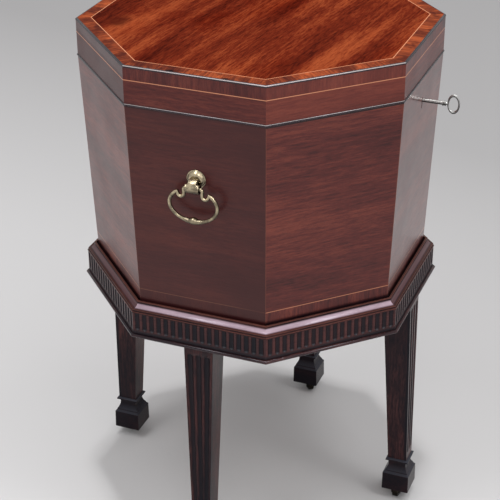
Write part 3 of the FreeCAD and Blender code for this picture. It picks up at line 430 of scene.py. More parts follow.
def placed(piece, move=(0, 0, 0), turn=(0, 0, 0)):
    """Turn a piece about the origin, then move it, and keep both in its mesh."""
    pick(piece)
    piece.rotation_euler = turn
    piece.location = move
    bpy.ops.object.transform_apply(location=True, rotation=True, scale=True)
    return piece


def named(piece, name):
    """Name a piece and its mesh."""
    piece.name = name
    piece.data.name = name
    return piece


def copied(piece, name):
    """A copy of a piece with its own mesh."""
    pick(piece)
    bpy.ops.object.duplicate(linked=False)
    return named(bpy.context.object, name)


def on_side(piece, name, side):
    """A copy of a front piece, carried round to the named side."""
    turn = math.radians(45.0 * side_names.index(side))
    return placed(copied(piece, name), turn=(0, 0, turn))


def discard(piece):
    """Take a pattern piece out of the scene once its copies are made."""
    bpy.data.objects.remove(piece, do_unlink=True)


def joined(pieces, name):
    """Several meshes as one piece."""
    rest()
    for piece in pieces:
        piece.select_set(True)
    bpy.context.view_layer.objects.active = pieces[0]
    bpy.ops.object.join()
    return named(bpy.context.object, name)


def apply_modifier(piece, kind, **settings):
    """Add a modifier, set it and apply it."""
    pick(piece)
    bpy.ops.object.modifier_add(type=kind)
    modifier = piece.modifiers[-1]
    for key, value in settings.items():
        setattr(modifier, key, value)
    bpy.ops.object.modifier_apply(modifier=modifier.name)


def cut(piece, cutter):
    """Take the cutter's shape out of the piece."""
    apply_modifier(piece, "BOOLEAN", operation="DIFFERENCE", solver="EXACT", object=cutter)
    discard(cutter)


def smooth(piece, sharp=35.0):
    """Shade a piece smooth but for its sharp edges."""
    pick(piece)
    bpy.ops.object.shade_smooth_by_angle(angle=math.radians(sharp))


def bevel(piece, width, segments=2, angle=40.0):
    """Round the sharp edges of a piece."""
    apply_modifier(
        piece, "BEVEL", width=width, segments=segments, limit_method="ANGLE",
        angle_limit=math.radians(angle), harden_normals=False, use_clamp_overlap=True,
    )


def refined(node, name, width, segments):
    """A merged copy of a frame node with its edges rounded, which stands for the node."""
    piece = copied(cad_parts[node], name)
    piece.parent = None
    for key in list(piece.keys()):
        del piece[key]
    bpy.ops.object.mode_set(mode="EDIT")
    bpy.ops.mesh.select_all(action="SELECT")
    bpy.ops.mesh.remove_doubles(threshold=weld)
    bpy.ops.mesh.dissolve_limited(angle_limit=math.radians(1.0))
    bpy.ops.object.mode_set(mode="OBJECT")
    bevel(piece, width, segments)
    smooth(piece)
    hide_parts(node)
    return piece


def finish_piece(piece, body, slot, material, *nodes):
    """Give a piece its body and its finish, and hide the nodes that it stands for. The slot is not
    used.
    """
    piece.data.materials.clear()
    piece.data.materials.append(material)
    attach(piece, body)
    if nodes:
        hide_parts(*nodes)


def dress(material, *nodes):
    """Give frame nodes their finish."""
    for node in nodes:
        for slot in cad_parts[node].material_slots:
            slot.material = material


# ------------------------------------------------------------------ finishes
class Wire:
    """A number in a finish. Arithmetic on it lays the Math nodes that work it out."""

    def __init__(self, finish, socket):
        self.finish = finish
        self.socket = socket

    def math(self, operation, *others):
        """The result of a Math node on this number and others."""
        node = self.finish.node("ShaderNodeMath", operation=operation)
        for socket, value in zip(node.inputs, (self,) + others):
            self.finish.feed(socket, value)
        return Wire(self.finish, node.outputs[0])

    def __add__(self, other):
        return self.math("ADD", other)

    def __sub__(self, other):
        return self.math("SUBTRACT", other)

    def __mul__(self, other):
        return self.math("MULTIPLY", other)

    def __abs__(self):
        return self.math("ABSOLUTE")

    def rise(self, low, high):
        """0 at low and 1 at high, held outside them. High may be the smaller one."""
        node = self.finish.node("ShaderNodeMapRange", {"From Min": low, "From Max": high})
        self.finish.feed(node.inputs["Value"], self)
        return Wire(self.finish, node.outputs["Result"])

    def stripe(self, middle, width, soft=0.00015):
        """1 within a stripe of the given width."""
        return abs(self - middle).rise(width / 2 + soft, width / 2 - soft)


class Finish:
    """One finish and its nodes."""

    def __init__(self, name):
        self.material = bpy.data.materials.new(name)
        self.material.use_nodes = True
        self.tree = self.material.node_tree
        self.shader = self.tree.nodes["Principled BSDF"]
        coordinates = self.node("ShaderNodeTexCoord").outputs
        self.place = coordinates["Object"]
        self.normal = coordinates["Normal"]
        self.x, self.y, self.z = self.split(self.place)

    def node(self, kind, inputs=None, **settings):
        """A new node with its settings and inputs."""
        node = self.tree.nodes.new(kind)
        for key, value in settings.items():
            setattr(node, key, value)
        for key, value in (inputs or {}).items():
            self.feed(node.inputs[key], value)
        return node

    def feed(self, socket, value):
        """Link a wire or a socket to a socket, or set its number or colour."""
        if isinstance(value, Wire):
            value = value.socket
        if isinstance(value, bpy.types.NodeSocket):
            self.tree.links.new(value, socket)
        elif socket.type == "RGBA":
            socket.default_value = tuple(value)[:3] + (1.0,)
        else:
            socket.default_value = value

    def split(self, vector):
        """The three numbers of a vector."""
        axes = self.node("ShaderNodeSeparateXYZ", {"Vector": vector}).outputs
        return [Wire(self, axis) for axis in axes]

    @cached_property
    def sides(self):
        """Along its side, outwards and the number of the side of the octagon of each point."""
        side = (self.y.math("ARCTAN2", self.x) * (4 / math.pi)).math("ROUND")
        side = side.math("FLOORED_MODULO", 8.0)
        turn = side * (math.pi / 4)
        sine = turn.math("SINE")
        cosine = turn.math("COSINE")
        return self.y * cosine - self.x * sine, self.x * cosine + self.y * sine, side

    def per_side(self, coordinate):
        """A coordinate shifted from side to side, so that each side has a figure of its own."""
        return coordinate + self.sides[2] * 0.37

    @cached_property
    def upwards(self):
        """How much the surface faces upwards, from 1 on a level top to -1 underneath."""
        return self.split(self.normal)[2]

    @cached_property
    def outwards(self):
        """How much the surface faces away from the cellarette's upright axis."""
        level = self.vector(self.x, self.y, 0.0)
        ray = self.node("ShaderNodeVectorMath", {0: level}, operation="NORMALIZE").outputs[0]
        both = {0: ray, 1: self.normal}
        dot = self.node("ShaderNodeVectorMath", both, operation="DOT_PRODUCT")
        return Wire(self, dot.outputs["Value"])

    def vector(self, x, y, z):
        """A vector of three numbers."""
        return self.node("ShaderNodeCombineXYZ", {"X": x, "Y": y, "Z": z}).outputs[0]

    def noise(self, vector, scale, detail=3.0, roughness=0.55, shift=0.0):
        """Noise, with its own scale along each of the vector's axes."""
        spread = self.node(
            "ShaderNodeMapping", {"Vector": vector, "Scale": scale, "Location": (shift,) * 3}
        )
        node = self.node("ShaderNodeTexNoise", {
            "Vector": spread.outputs[0], "Scale": 1.0, "Detail": detail, "Roughness": roughness,
        })
        return Wire(self, node.outputs[0])

    def ramp(self, factor, *stops):
        """A colour ramp through stops of (place, colour)."""
        node = self.node("ShaderNodeValToRGB", {"Fac": factor})
        elements = node.color_ramp.elements
        while len(elements) < len(stops):
            elements.new(0.5)
        for element, (place, colour) in zip(elements, stops):
            element.position = place
            element.color = tuple(colour)[:3] + (1.0,)
        return node.outputs["Color"]

    def mix(self, factor, a, b, blend="MIX"):
        """Colour a where the factor is 0 and b, or its blend with a, where it is 1."""
        node = self.node("ShaderNodeMix", data_type="RGBA", blend_type=blend)
        self.feed(node.inputs[0], factor)
        self.feed(node.inputs[6], a)
        self.feed(node.inputs[7], b)
        return node.outputs[2]

    def bump(self, height, distance):
        """Raise the surface by a distance where the height is 1."""
        node = self.node("ShaderNodeBump", {"Height": height, "Distance": distance, "Strength": 1.0})
        self.feed(self.shader.inputs["Normal"], node.outputs[0])

    def paint(self, **sockets):
        """Feed the shader's sockets by name, with underscores for spaces."""
        for key, value in sockets.items():
            self.feed(self.shader.inputs[key.replace("_", " ")], value)
        return self.material


# The polish shines warm over the red wood of lid and case, and cool over the blackened stand.
WARM = (1.0, 0.88, 0.85)
COOL = (0.88, 0.90, 1.0)


def palette(colours, wood):
    """The dark, fair and light colour of a wood."""
    return [getattr(colours, wood + tone) for tone in ("_dark", "_fair", "_light")]


def only(side, name):
    """1 on the named side of the octagon. A finish numbers them from the right one backwards."""
    number = (side_names.index(name) - side_names.index("right")) % len(side_names)
    return side.stripe(number, 1.0, 0.1)


def lit_sides(side):
    """1 on the left and front-left sides, where highlights are painted, and 0.1 on the others."""
    return (only(side, "left") + only(side, "front_left")) * 0.9 + 0.1


def mahogany(finish, along, across, out, tones, seed=0.0, bands=0.38, step=0.11):
    """Colour and pores of mahogany whose grain runs along, in its dark, fair and light tones."""
    dark, fair, light = tones
    spot = finish.vector(along, across, out)
    wander = finish.noise(spot, (3.0, 9.0, 9.0), 1.0, shift=seed)
    bent = finish.vector(along, across + (wander - 0.5) * 0.016, out)
    band = finish.noise(bent, (2.6, 21.0, 21.0), 2.0, shift=seed + 3.0)
    streak = finish.noise(bent, (24.0, 260.0, 260.0), 4.0, 0.68, shift=seed + 5.0)
    fleck = finish.noise(bent, (70.0, 430.0, 430.0), 3.0, 0.65, shift=seed + 7.0)
    tone = band * bands + streak * (0.70 - bands) + fleck * 0.30
    middle = 0.49
    colour = finish.ramp(tone, (middle - step, dark), (middle, fair), (middle + step, light))
    pores = fleck.rise(0.56, 0.70)
    return finish.mix(pores * 0.6, colour, dark), pores


def varnish(finish, colour, pores, gloss, roughness=0.34, glance=None, tinge=WARM):
    """French polish over wood, uneven and sunk into the pores. Glance is its coat seen aslant."""
    wear = finish.noise(finish.place, (14.0, 14.0, 14.0), 3.0)
    ripple = finish.noise(finish.place, (9.0, 9.0, 5.0), 1.0, shift=9.0)
    finish.bump(ripple * 9.0 - pores, 0.00006)
    if glance is not None:
        facing = finish.node("ShaderNodeLayerWeight", {"Blend": 0.5}).outputs["Facing"]
        coat = Wire(finish, facing).rise(0.45, 0.85) * glance
        finish.paint(Coat_Weight=coat, Coat_Roughness=0.2, Coat_IOR=1.5)
    return finish.paint(
        Base_Color=colour, Roughness=wear.rise(0.2, 0.8) * 0.16 + (roughness - 0.08),
        Specular_IOR_Level=gloss, Specular_Tint=tinge,
    )


def case_finish(colours, inlay):
    """Horizontal-grained case sides, with a crossband under the lower string."""
    finish = Finish("case_veneer")
    along, out, side = finish.sides
    z = finish.z
    depth = finish.per_side(out)
    tones = palette(colours, "case")
    body, pores = mahogany(finish, along, z, depth, tones)
    band, _ = mahogany(finish, z, along, depth, tones, seed=20.0)
    colour = finish.mix(z.rise(inlay.case_string_z + mm, inlay.case_string_z), body, band)
    string = z.stripe(inlay.case_string_z, inlay.string_width)
    colour = finish.mix(string * 0.8, colour, colours.boxwood)
    to_corner = out * corner_tangent - abs(along)
    corner = to_corner.rise(inlay.corner_string, 0.5 * inlay.corner_string)
    upright_out = out - (z - seat_z) * case_lean
    outside = upright_out.rise(case_foot_reach - 2.6 * mm, case_foot_reach - 1.1 * mm)
    colour = finish.mix(corner * outside * 0.7, colour, colours.corner)
    # Painted shade: the veneer is darkened to the stand's dark tone just above the stand and just
    # below the lid's bead, where the gaps lie in shade.
    seat_shade = z.rise(stand_top_z + 5 * mm, stand_top_z + mm)
    mouth_shade = z.rise(joint_z - 2.4 * mm, joint_z - 1.6 * mm)
    colour = finish.mix((seat_shade + mouth_shade) * 0.9, colour, colours.stand_dark)
    cloud = finish.noise(finish.place, (4.0, 4.0, 6.0), 2.0, shift=31.0).rise(0.40, 0.65)
    # Painted shade and light: as well as random clouds of darker veneer, the left side is painted
    # darker and the front-left side lighter.
    dull = cloud * 0.3 + only(side, "left") * 0.62 - only(side, "front_left") * 0.2
    colour = finish.mix(dull, colour, colours.case_dark)
    polish = only(side, "front") * 0.15 - only(side, "back_left") * 0.48 + 0.85
    return varnish(finish, colour, pores, gloss=0.33, glance=polish)


def lid_side_colour(finish, colours, inlay):
    """Colour and pores of the lid's upright faces: plain below the string, crossbanded above."""
    along, out, side = finish.sides
    z = finish.z
    depth = finish.per_side(out)
    tones = palette(colours, "case")
    body, pores = mahogany(finish, along, z, depth, tones, seed=40.0)
    band, _ = mahogany(finish, z, along, depth, tones, seed=50.0)
    colour = finish.mix(z.rise(inlay.lid_string_z, inlay.lid_string_z + mm), body, band)
    # Painted shade and light: the left and back-left walls are painted darker, and the front-left
    # wall lighter.
    dull = only(side, "left") * 0.25 + only(side, "back_left") * 0.8
    colour = finish.mix(dull, colour, colours.case_dark)
    colour = finish.mix(only(side, "front_left") * 0.35, colour, colours.case_light)
    string = z.stripe(inlay.lid_string_z, inlay.string_width)
    return finish.mix(string, colour, colours.boxwood), pores


def lid_wall_finish(colours, inlay):
    """The walls of the lid."""
    finish = Finish("lid_wall_veneer")
    colour, pores = lid_side_colour(finish, colours, inlay)
    polish = only(finish.sides[2], "back_left") * -0.3 + 0.4
    return varnish(finish, colour, pores, gloss=0.30, glance=polish)


def lid_field_colour(finish, colours, inlay):
    """Colour and pores of the figured field on top of the lid, with its knot."""
    lean = math.radians(-6.0)
    run = finish.x * math.cos(lean) + finish.y * math.sin(lean)
    over = finish.y * math.cos(lean) - finish.x * math.sin(lean)
    field, pores = mahogany(
        finish, run, over, finish.z, palette(colours, "field"), seed=60.0, bands=0.46, step=0.095,
    )
    patch = finish.noise(finish.place, (5.0, 9.0, 9.0), 3.0, 0.6, shift=65.0)
    field = finish.mix(patch.rise(0.50, 0.70) * 0.55, field, colours.field_light, "OVERLAY")
    knot = blot(finish, inlay.knot_x, inlay.knot_y, inlay.knot_radius)
    return finish.mix(knot * 0.75, field, colours.field_dark), pores


def lid_border_colour(finish, colours):
    """Colour of the stained crossband round the top of the lid."""
    along, out, _ = finish.sides
    tones = palette(colours, "border")
    border, _ = mahogany(finish, out, along, finish.per_side(finish.z), tones, seed=70.0)
    stain = finish.noise(finish.place, (26.0, 26.0, 26.0), 3.0, 0.6, shift=75.0)
    return finish.mix(stain.rise(0.48, 0.60) * 0.75, border, colours.border_dark)


def lid_top_finish(colours, inlay):
    """The figured field of the lid, its string and crossbanded border, and the board's edge."""
    finish = Finish("lid_top_veneer")
    out = finish.sides[1]
    field, pores = lid_field_colour(finish, colours, inlay)
    border = lid_border_colour(finish, colours)
    above = finish.upwards.rise(-0.1, 0.1)
    edge = inlay.lid_border
    colour = finish.mix(out.rise(edge - 0.1 * mm, edge + 0.1 * mm) * above, field, border)
    string = out.stripe(edge, inlay.string_width) * above
    colour = finish.mix(string, colour, colours.boxwood)
    chips = ((inlay.chip_x, inlay.chip_y), (inlay.second_chip_x, inlay.second_chip_y))
    for x, y in chips:
        chip = blot(finish, x, y, inlay.chip_radius, 1.4)
        colour = finish.mix(chip * 0.85, colour, colours.ebony)
    rim = edge_reach - 1.4 * mm
    upright = out.rise(rim, rim + 0.3 * mm)
    side_colour, _ = lid_side_colour(finish, colours, inlay)
    colour = finish.mix(upright, colour, side_colour)
    return varnish(finish, colour, pores, gloss=upright * 0.33, glance=upright * 0.4)


def blot(finish, x, y, radius, squash=0.7):
    """1 in a dark, ragged oval of the lid's veneer, fading outwards."""
    dx = (finish.x - x) * squash
    dy = finish.y - y
    ragged = finish.noise(finish.place, (60.0, 60.0, 60.0), 2.0, shift=77.0)
    distance = (dx * dx + dy * dy).math("SQRT") + (ragged - 0.5) * (0.5 * radius)
    return distance.rise(radius, 0.45 * radius)


def frieze_finish(colours):
    """Stand rails: upright grain, painted shade in the flute hollows with a painted highlight at
    their feet, and worn ridges.
    """
    finish = Finish("fluted_mahogany")
    along, out, _ = finish.sides
    tones = palette(colours, "stand")
    colour, pores = mahogany(finish, along, finish.z, finish.per_side(out), tones, seed=80.0)
    ridge = out.rise(frieze_reach - 0.25 * mm, frieze_reach - 0.05 * mm)
    colour = finish.mix(ridge * 0.4, colour, colours.stand_light)
    # Painted shade: the flute hollows are darkened nearly to black.
    hollow = out.rise(frieze_reach - 0.2 * mm, frieze_reach - 1.2 * mm)
    colour = finish.mix(hollow * 0.85, colour, colours.stand_dark)
    # Painted highlight: the upward-facing ends of the flute hollows are painted pale grey.
    scoop_highlight = hollow * finish.upwards.rise(0.15, 0.65)
    colour = finish.mix(scoop_highlight * 0.7, colour, colours.flute_foot_highlight)
    foot = finish.z.rise(rail_z + 12 * mm, rail_z + 8 * mm)
    colour = finish.mix(foot * 0.85, colour, colours.foot)
    return varnish(finish, colour, pores, gloss=0.2, tinge=COOL)


def leg_finish(colours, sizes):
    """Legs: upright grain, with painted shade in the flutes."""
    finish = Finish("leg_mahogany")
    along, out, _ = finish.sides
    tones = palette(colours, "stand")
    colour, pores = mahogany(finish, finish.z, along, finish.per_side(out), tones, seed=90.0)
    face = out + (finish.z - rail_z) * (sizes.splay / (rail_z - leg_z))
    reach = frieze_reach + sizes.projection
    # Painted shade: the flutes of the legs are darkened nearly to black.
    hollow = face.rise(reach - 0.2 * mm, reach - 1.2 * mm)
    shallow = face.rise(reach - 4.0 * mm, reach - 3.0 * mm)
    colour = finish.mix(hollow * shallow * 0.85, colour, colours.stand_dark)
    return varnish(finish, colour, pores, gloss=0.15, glance=0.4, tinge=COOL)


def moulding_wood(finish, colours):
    """Colour and pores of the stand's mahogany, with the grain along each side."""
    along, out, _ = finish.sides
    tones = palette(colours, "stand")
    return mahogany(finish, along, finish.z, finish.per_side(out), tones, seed=100.0)


def bead_finish(colours):
    """The bead at the foot of the frieze."""
    finish = Finish("bead_mahogany")
    colour, pores = moulding_wood(finish, colours)
    return varnish(finish, colour, pores, roughness=0.2, gloss=0.4, tinge=COOL)


def foot_finish(colours):
    """The feet: blackened polish, with a painted grey-blue highlight where they face up."""
    finish = Finish("foot_mahogany")
    colour, pores = moulding_wood(finish, colours)
    colour = finish.mix(0.75, colour, colours.foot)
    # Painted highlight: faces of the feet that turn upwards are painted grey-blue.
    colour = finish.mix(finish.upwards.rise(0.2, 0.8) * 0.7, colour, colours.foot_worn)
    return varnish(finish, colour, pores, roughness=0.2, gloss=0.12, tinge=COOL)


def cove_finish(colours, low, high):
    """The stand's top moulding, with painted light in the cove from low to high, and worn edges."""
    finish = Finish("cove_mahogany")
    colour, pores = moulding_wood(finish, colours)
    # Painted light: the cove's hollow is painted lighter all round, and on the left and front-left
    # sides a pale lilac highlight is painted in it.
    hollow = finish.z.rise(low, low + mm) * finish.z.rise(high, high - 2 * mm)
    colour = finish.mix(hollow * 0.8, colour, colours.stand_light)
    cove_highlight_mask = hollow * lit_sides(finish.sides[2])
    patchy = finish.noise(finish.place, (25.0, 25.0, 25.0), 3.0).rise(0.25, 0.55)
    colour = finish.mix(cove_highlight_mask * (patchy * 0.3 + 0.7), colour, colours.cove_highlight)
    for edge in (low - 0.3 * mm, moulding_z + 1.8 * mm, stand_top_z - 0.2 * mm):
        rubbed = finish.z.stripe(edge, 0.5 * mm, 0.2 * mm)
        colour = finish.mix(rubbed * 0.7, colour, colours.edge)
    return varnish(finish, colour, pores, roughness=0.2, gloss=cove_highlight_mask * 0.55 + 0.12, tinge=COOL)


def ebony_finish(colours):
    """Ebonised bead: black, with rubbed spots and a painted highlight on its shoulder."""
    finish = Finish("ebonised_bead")
    rub = finish.noise(finish.place, (60.0, 60.0, 60.0), 4.0)
    colour = finish.mix(rub.rise(0.55, 0.75) * 0.5, colours.ebony, colours.ebony_rubbed)
    # Painted highlight: on the left and front-left sides the bead's shoulder, where it faces up and
    # out, is painted pale grey.
    shoulder = finish.upwards.rise(0.42, 0.58) * finish.upwards.rise(0.94, 0.80)
    bead_highlight = shoulder * lit_sides(finish.sides[2])
    colour = finish.mix(bead_highlight * 0.9, colour, colours.ebony_highlight)
    finish.bump(rub, 0.00002)
    return finish.paint(
        Base_Color=colour, Roughness=rub.rise(0.2, 0.8) * 0.15 + 0.2,
        Specular_IOR_Level=0.6, Specular_Tint=(1.0, 0.82, 0.93),
    )


def plain_wood_finish(name, colour, along_axis, seed):
    """Unpolished wood whose grain runs along one axis of the object."""
    finish = Finish(name)
    along, depth = {"x": (finish.x, finish.y), "y": (finish.y, finish.x)}[along_axis]
    dark = [channel * 0.45 for channel in colour]
    light = [min(1.0, channel * 1.6) for channel in colour]
    grain, pores = mahogany(finish, along, finish.z, depth, (dark, colour, light), seed=seed)
    finish.bump(pores * -1.0, 0.0001)
    return finish.paint(Base_Color=grain, Roughness=pores * 0.1 + 0.55)


def lead_finish(colours):
    """Dull sheet lead with pale oxide and scratches."""
    finish = Finish("sheet_lead")
    cloud = finish.noise(finish.place, (18.0, 18.0, 18.0), 5.0, 0.65)
    scratch = finish.noise(finish.place, (30.0, 400.0, 60.0), 3.0)
    colour = finish.mix(cloud.rise(0.4, 0.7) * 0.6, colours.lead, colours.oxide)
    finish.bump(cloud + scratch * 0.3, 0.0006)
    return finish.paint(
        Base_Color=colour, Metallic=0.7, Roughness=scratch.rise(0.3, 0.7) * 0.2 + 0.5,
    )


def brass_finish(name, bright, dark, tarnish):
    """Old brass: tarnish in clouds, rubbed brighter between them, and painted shade where it faces
    down or in.
    """
    finish = Finish(name)
    cloud = finish.noise(finish.place, (90.0, 90.0, 90.0), 4.0, 0.6)
    grain = finish.noise(finish.place, (900.0, 900.0, 900.0), 2.0)
    colour = finish.mix(cloud.rise(0.30, 0.62) * tarnish, bright, dark)
    # Painted shade: faces that turn down or in towards the case are painted dark, and faces that
    # turn up and out keep the bright brass.
    lit_facing = finish.upwards * 0.8 + finish.outwards * 0.7
    colour = finish.mix(lit_facing.rise(0.95, 0.45) * 0.85, colour, dark)
    finish.bump(cloud + grain * 0.15, 0.00012)
    return finish.paint(
        Base_Color=colour, Metallic=1.0, Roughness=cloud.rise(0.3, 0.7) * 0.16 + 0.16,
    )


def steel_finish(colours):
    """Worn steel with fine file marks, and painted shade underneath."""
    finish = Finish("worn_steel")
    mark = finish.noise(finish.place, (300.0, 2500.0, 300.0), 2.0)
    cloud = finish.noise(finish.place, (70.0, 70.0, 70.0), 3.0)
    colour = finish.mix(cloud.rise(0.45, 0.70) * 0.6, colours.steel, colours.steel_dull)
    # Painted shade: the faces that turn downwards are painted dark.
    underneath = finish.upwards.rise(0.30, -0.10)
    colour = finish.mix(underneath * 0.95, colour, colours.steel_dark)
    finish.bump(mark, 0.00001)
    return finish.paint(
        Base_Color=colour, Metallic=1.0, Roughness=mark.rise(0.3, 0.7) * 0.15 + 0.2,
    )


# ------------------------------------------------------------------ stage
class CELLARETTE_OT_stage(bpy.types.Operator):
    """Set the floor, the soft studio light and the camera"""

    bl_idname = "cellarette.stage"
    bl_label = "Stage"

    def execute(self, context):
        stage = context.scene.cellarette_stage
        self.lay_floor(stage)
        self.light(context, stage)
        self.set_camera(context, stage)
        return {"FINISHED"}

    def lay_floor(self, stage):
        """A plain round floor, painted paler on the near side as painted light."""
        rest()
        bpy.ops.mesh.primitive_circle_add(
            vertices=64, radius=stage.floor_radius, fill_type="NGON", enter_editmode=True,
        )
        floor = finished("studio_floor")
        finish = Finish("studio_floor")
        turn = stage.azimuth + stage.fade_turn
        nearness = finish.x * math.cos(turn) + finish.y * math.sin(turn)
        near = nearness.rise(stage.fade_start, stage.fade_end)
        colour = finish.mix(near, stage.floor_far, stage.floor_near)
        floor.data.materials.append(
            finish.paint(Base_Color=colour, Roughness=0.9, Specular_IOR_Level=0.0)
        )

    def light(self, context, stage):
        """A pale room with softboxes that face the case."""
        world = bpy.data.worlds.new("studio")
        context.scene.world = world
        world.use_nodes = True
        sky = world.node_tree.nodes["Background"]
        sky.inputs["Color"].default_value = (*stage.sky, 1.0)
        sky.inputs["Strength"].default_value = stage.ambient
        target = Vector((0, 0, stage.aim_height))
        for name, place, size, roll, power in (
            ("top_softbox", Vector((0.0, 0.0, 14.0)), (0.8, 0.8), 0.0, stage.top_power),
            ("side_strip", Vector((-0.05, -1.55, 3.0)), (2.2, 0.6), 51.0, stage.side_power),
            ("back_strip", Vector((-1.1, 0.88, 3.0)), (1.9, 0.6), -58.0, stage.back_power),
            ("front_softbox", Vector((-2.0, -0.8, 2.4)), (1.0, 1.0), 0.0, stage.front_power),
            ("fill_softbox", Vector((-1.6, -2.2, 1.6)), (1.2, 1.2), 0.0, stage.fill_power),
        ):
            rest()
            bpy.ops.object.light_add(type="AREA", location=place)
            lamp = context.object
            lamp.name = name
            aim = (place - target).to_track_quat("Z", "Y").to_matrix()
            lamp.rotation_euler = (aim @ Matrix.Rotation(math.radians(roll), 3, "Z")).to_euler()
            lamp.data.shape = "RECTANGLE"
            lamp.data.size, lamp.data.size_y = size
            lamp.data.energy = power

    def set_camera(self, context, stage):
        """A camera at its set place, turned to look back along its azimuth and elevation."""
        rest()
        look = Euler((math.pi / 2 - stage.elevation, 0, stage.azimuth + math.pi / 2)).to_matrix()
        turn = (look @ Matrix.Rotation(stage.roll, 3, "Z")).to_euler()
        place = (stage.camera_x, stage.camera_y, stage.camera_z)
        bpy.ops.object.camera_add(location=place, rotation=turn)
        camera = context.object
        camera.name = "camera"
        camera.data.sensor_width = 36.0
        camera.data.lens = stage.lens
        camera.data.clip_end = 50.0
        context.scene.camera = camera
        context.scene.view_settings.view_transform = "Standard"


# ------------------------------------------------------------------ stand
def gouge_radius(half_width, depth):
    """Radius of a round gouge whose cut has this half width and depth."""
    return (half_width ** 2 + depth ** 2) / (2 * depth)


class CELLARETTE_OT_frieze(bpy.types.Operator):
    """Model the eight fluted rails"""

    bl_idname = "cellarette.frieze"
    bl_label = "Fluted frieze"

    def execute(self, context):
        sizes = context.scene.cellarette_stand
        rail = self.plain_rail(sizes)
        cut(rail, self.flute_cutters(sizes))
        smooth(rail)
        material = frieze_finish(context.scene.cellarette_colours)
        for side in side_names:
            node = "stand_rail_" + side
            piece = on_side(rail, "fluted_rail_" + side, side)
            finish_piece(piece, "stand", "mahogany_stand", material, node)
        discard(rail)
        return {"FINISHED"}

    def plain_rail(self, sizes):
        """The front rail, mitred at its ends and rebated for the case."""
        inner = frieze_reach - sizes.rail_thickness
        half = frieze_reach * corner_tangent
        block("front_rail", (-half, -frieze_reach, rail_z), (half, -inner, moulding_z))
        choose_points(lambda place: place.y > -(frieze_reach + inner) / 2)
        share = inner / frieze_reach
        bpy.ops.transform.resize(value=(share, 1, 1), center_override=(0, -inner, rail_z))
        rail = finished("front_rail")
        rebate_reach = frieze_reach - sizes.socket_gap
        block("rebate", (-half * 2, -rebate_reach, seat_z), (half * 2, 0, moulding_z + 10 * mm))
        cut(rail, finished("rebate"))
        return rail

    def flute_cutters(self, sizes):
        """A row of round-toed gouge cuts."""
        radius = gouge_radius(sizes.flute_width / 2, sizes.flute_depth)
        toe = rail_z + sizes.flute_foot + sizes.flute_width / 2
        pitch = 2 * (frieze_reach * corner_tangent - sizes.flute_margin) / sizes.flute_count
        first = -(sizes.flute_count - 1) / 2 * pitch
        rest()
        bpy.ops.mesh.primitive_uv_sphere_add(
            segments=32, ring_count=16, radius=radius, enter_editmode=True,
            location=(first, -frieze_reach - radius + sizes.flute_depth, toe),
        )
        choose_points(lambda place: place.z > toe + hair)
        bpy.ops.transform.translate(value=(0, 0, moulding_z + radius - toe))
        cutter = finished("flute_cutter")
        apply_modifier(
            cutter, "ARRAY", count=sizes.flute_count, use_relative_offset=False,
            use_constant_offset=True, constant_offset_displace=(pitch, 0, 0),
        )
        return cutter


class CELLARETTE_OT_stand_mouldings(bpy.types.Operator):
    """Model the cove moulding round the top of the stand and the bead round its foot"""

    bl_idname = "cellarette.stand_mouldings"
    bl_label = "Stand mouldings"

    def execute(self, context):
        sizes = context.scene.cellarette_stand
        colours = context.scene.cellarette_colours
        cove_foot = moulding_z + sizes.cove_foot
        cove_material = cove_finish(colours, cove_foot, stand_top_z - sizes.lip_height)
        bead_material = bead_finish(colours)
        inner = frieze_reach - sizes.socket_gap
        cove = run_round("cove_moulding", self.cove_profile(sizes, inner))
        bevel(cove, 0.35 * mm, angle=50.0)
        smooth(cove, 30.0)
        finish_piece(cove, "stand", "mahogany_moulding", cove_material, "stand_top_moulding")
        bead = run_round("frieze_bead", self.bead_profile())
        finish_piece(bead, "stand", "mahogany_moulding", bead_material, "stand_bottom_bead")
        return {"FINISHED"}

    def cove_profile(self, sizes, inner):
        """Two fillets, a shallow cove at 45 degrees and a square lip."""
        lip = inner + sizes.lip_width
        hollow_top = stand_top_z - sizes.lip_height
        hollow_foot = moulding_z + sizes.cove_foot
        rise = hollow_top - hollow_foot
        lip_in = lip - 0.6 * mm
        step = moulding_reach - sizes.fillet_step
        hollow = []
        for share in shares(10):
            sag = 4 * sizes.cove_sag * share * (1 - share) * math.sqrt(0.5)
            hollow.append((
                lip_in + rise * (1 - share) - sag, hollow_foot + rise * share - sag,
            ))
        return [
            (inner, moulding_z), (moulding_reach, moulding_z),
            (moulding_reach, moulding_z + sizes.fillet_top),
            (step, moulding_z + sizes.fillet_top), (step, hollow_foot),
        ] + hollow + [(lip, hollow_top), (lip, stand_top_z), (inner, stand_top_z)]

    def bead_profile(self):
        """A half-round nose on a short flat."""
        radius = (bead_top_z - rail_z) / 2
        centre = (bead_reach - radius, rail_z + radius)
        nose = arc(centre, radius, -90.0, 90.0, 12)
        return [(frieze_reach, rail_z)] + nose + [(frieze_reach, bead_top_z)]


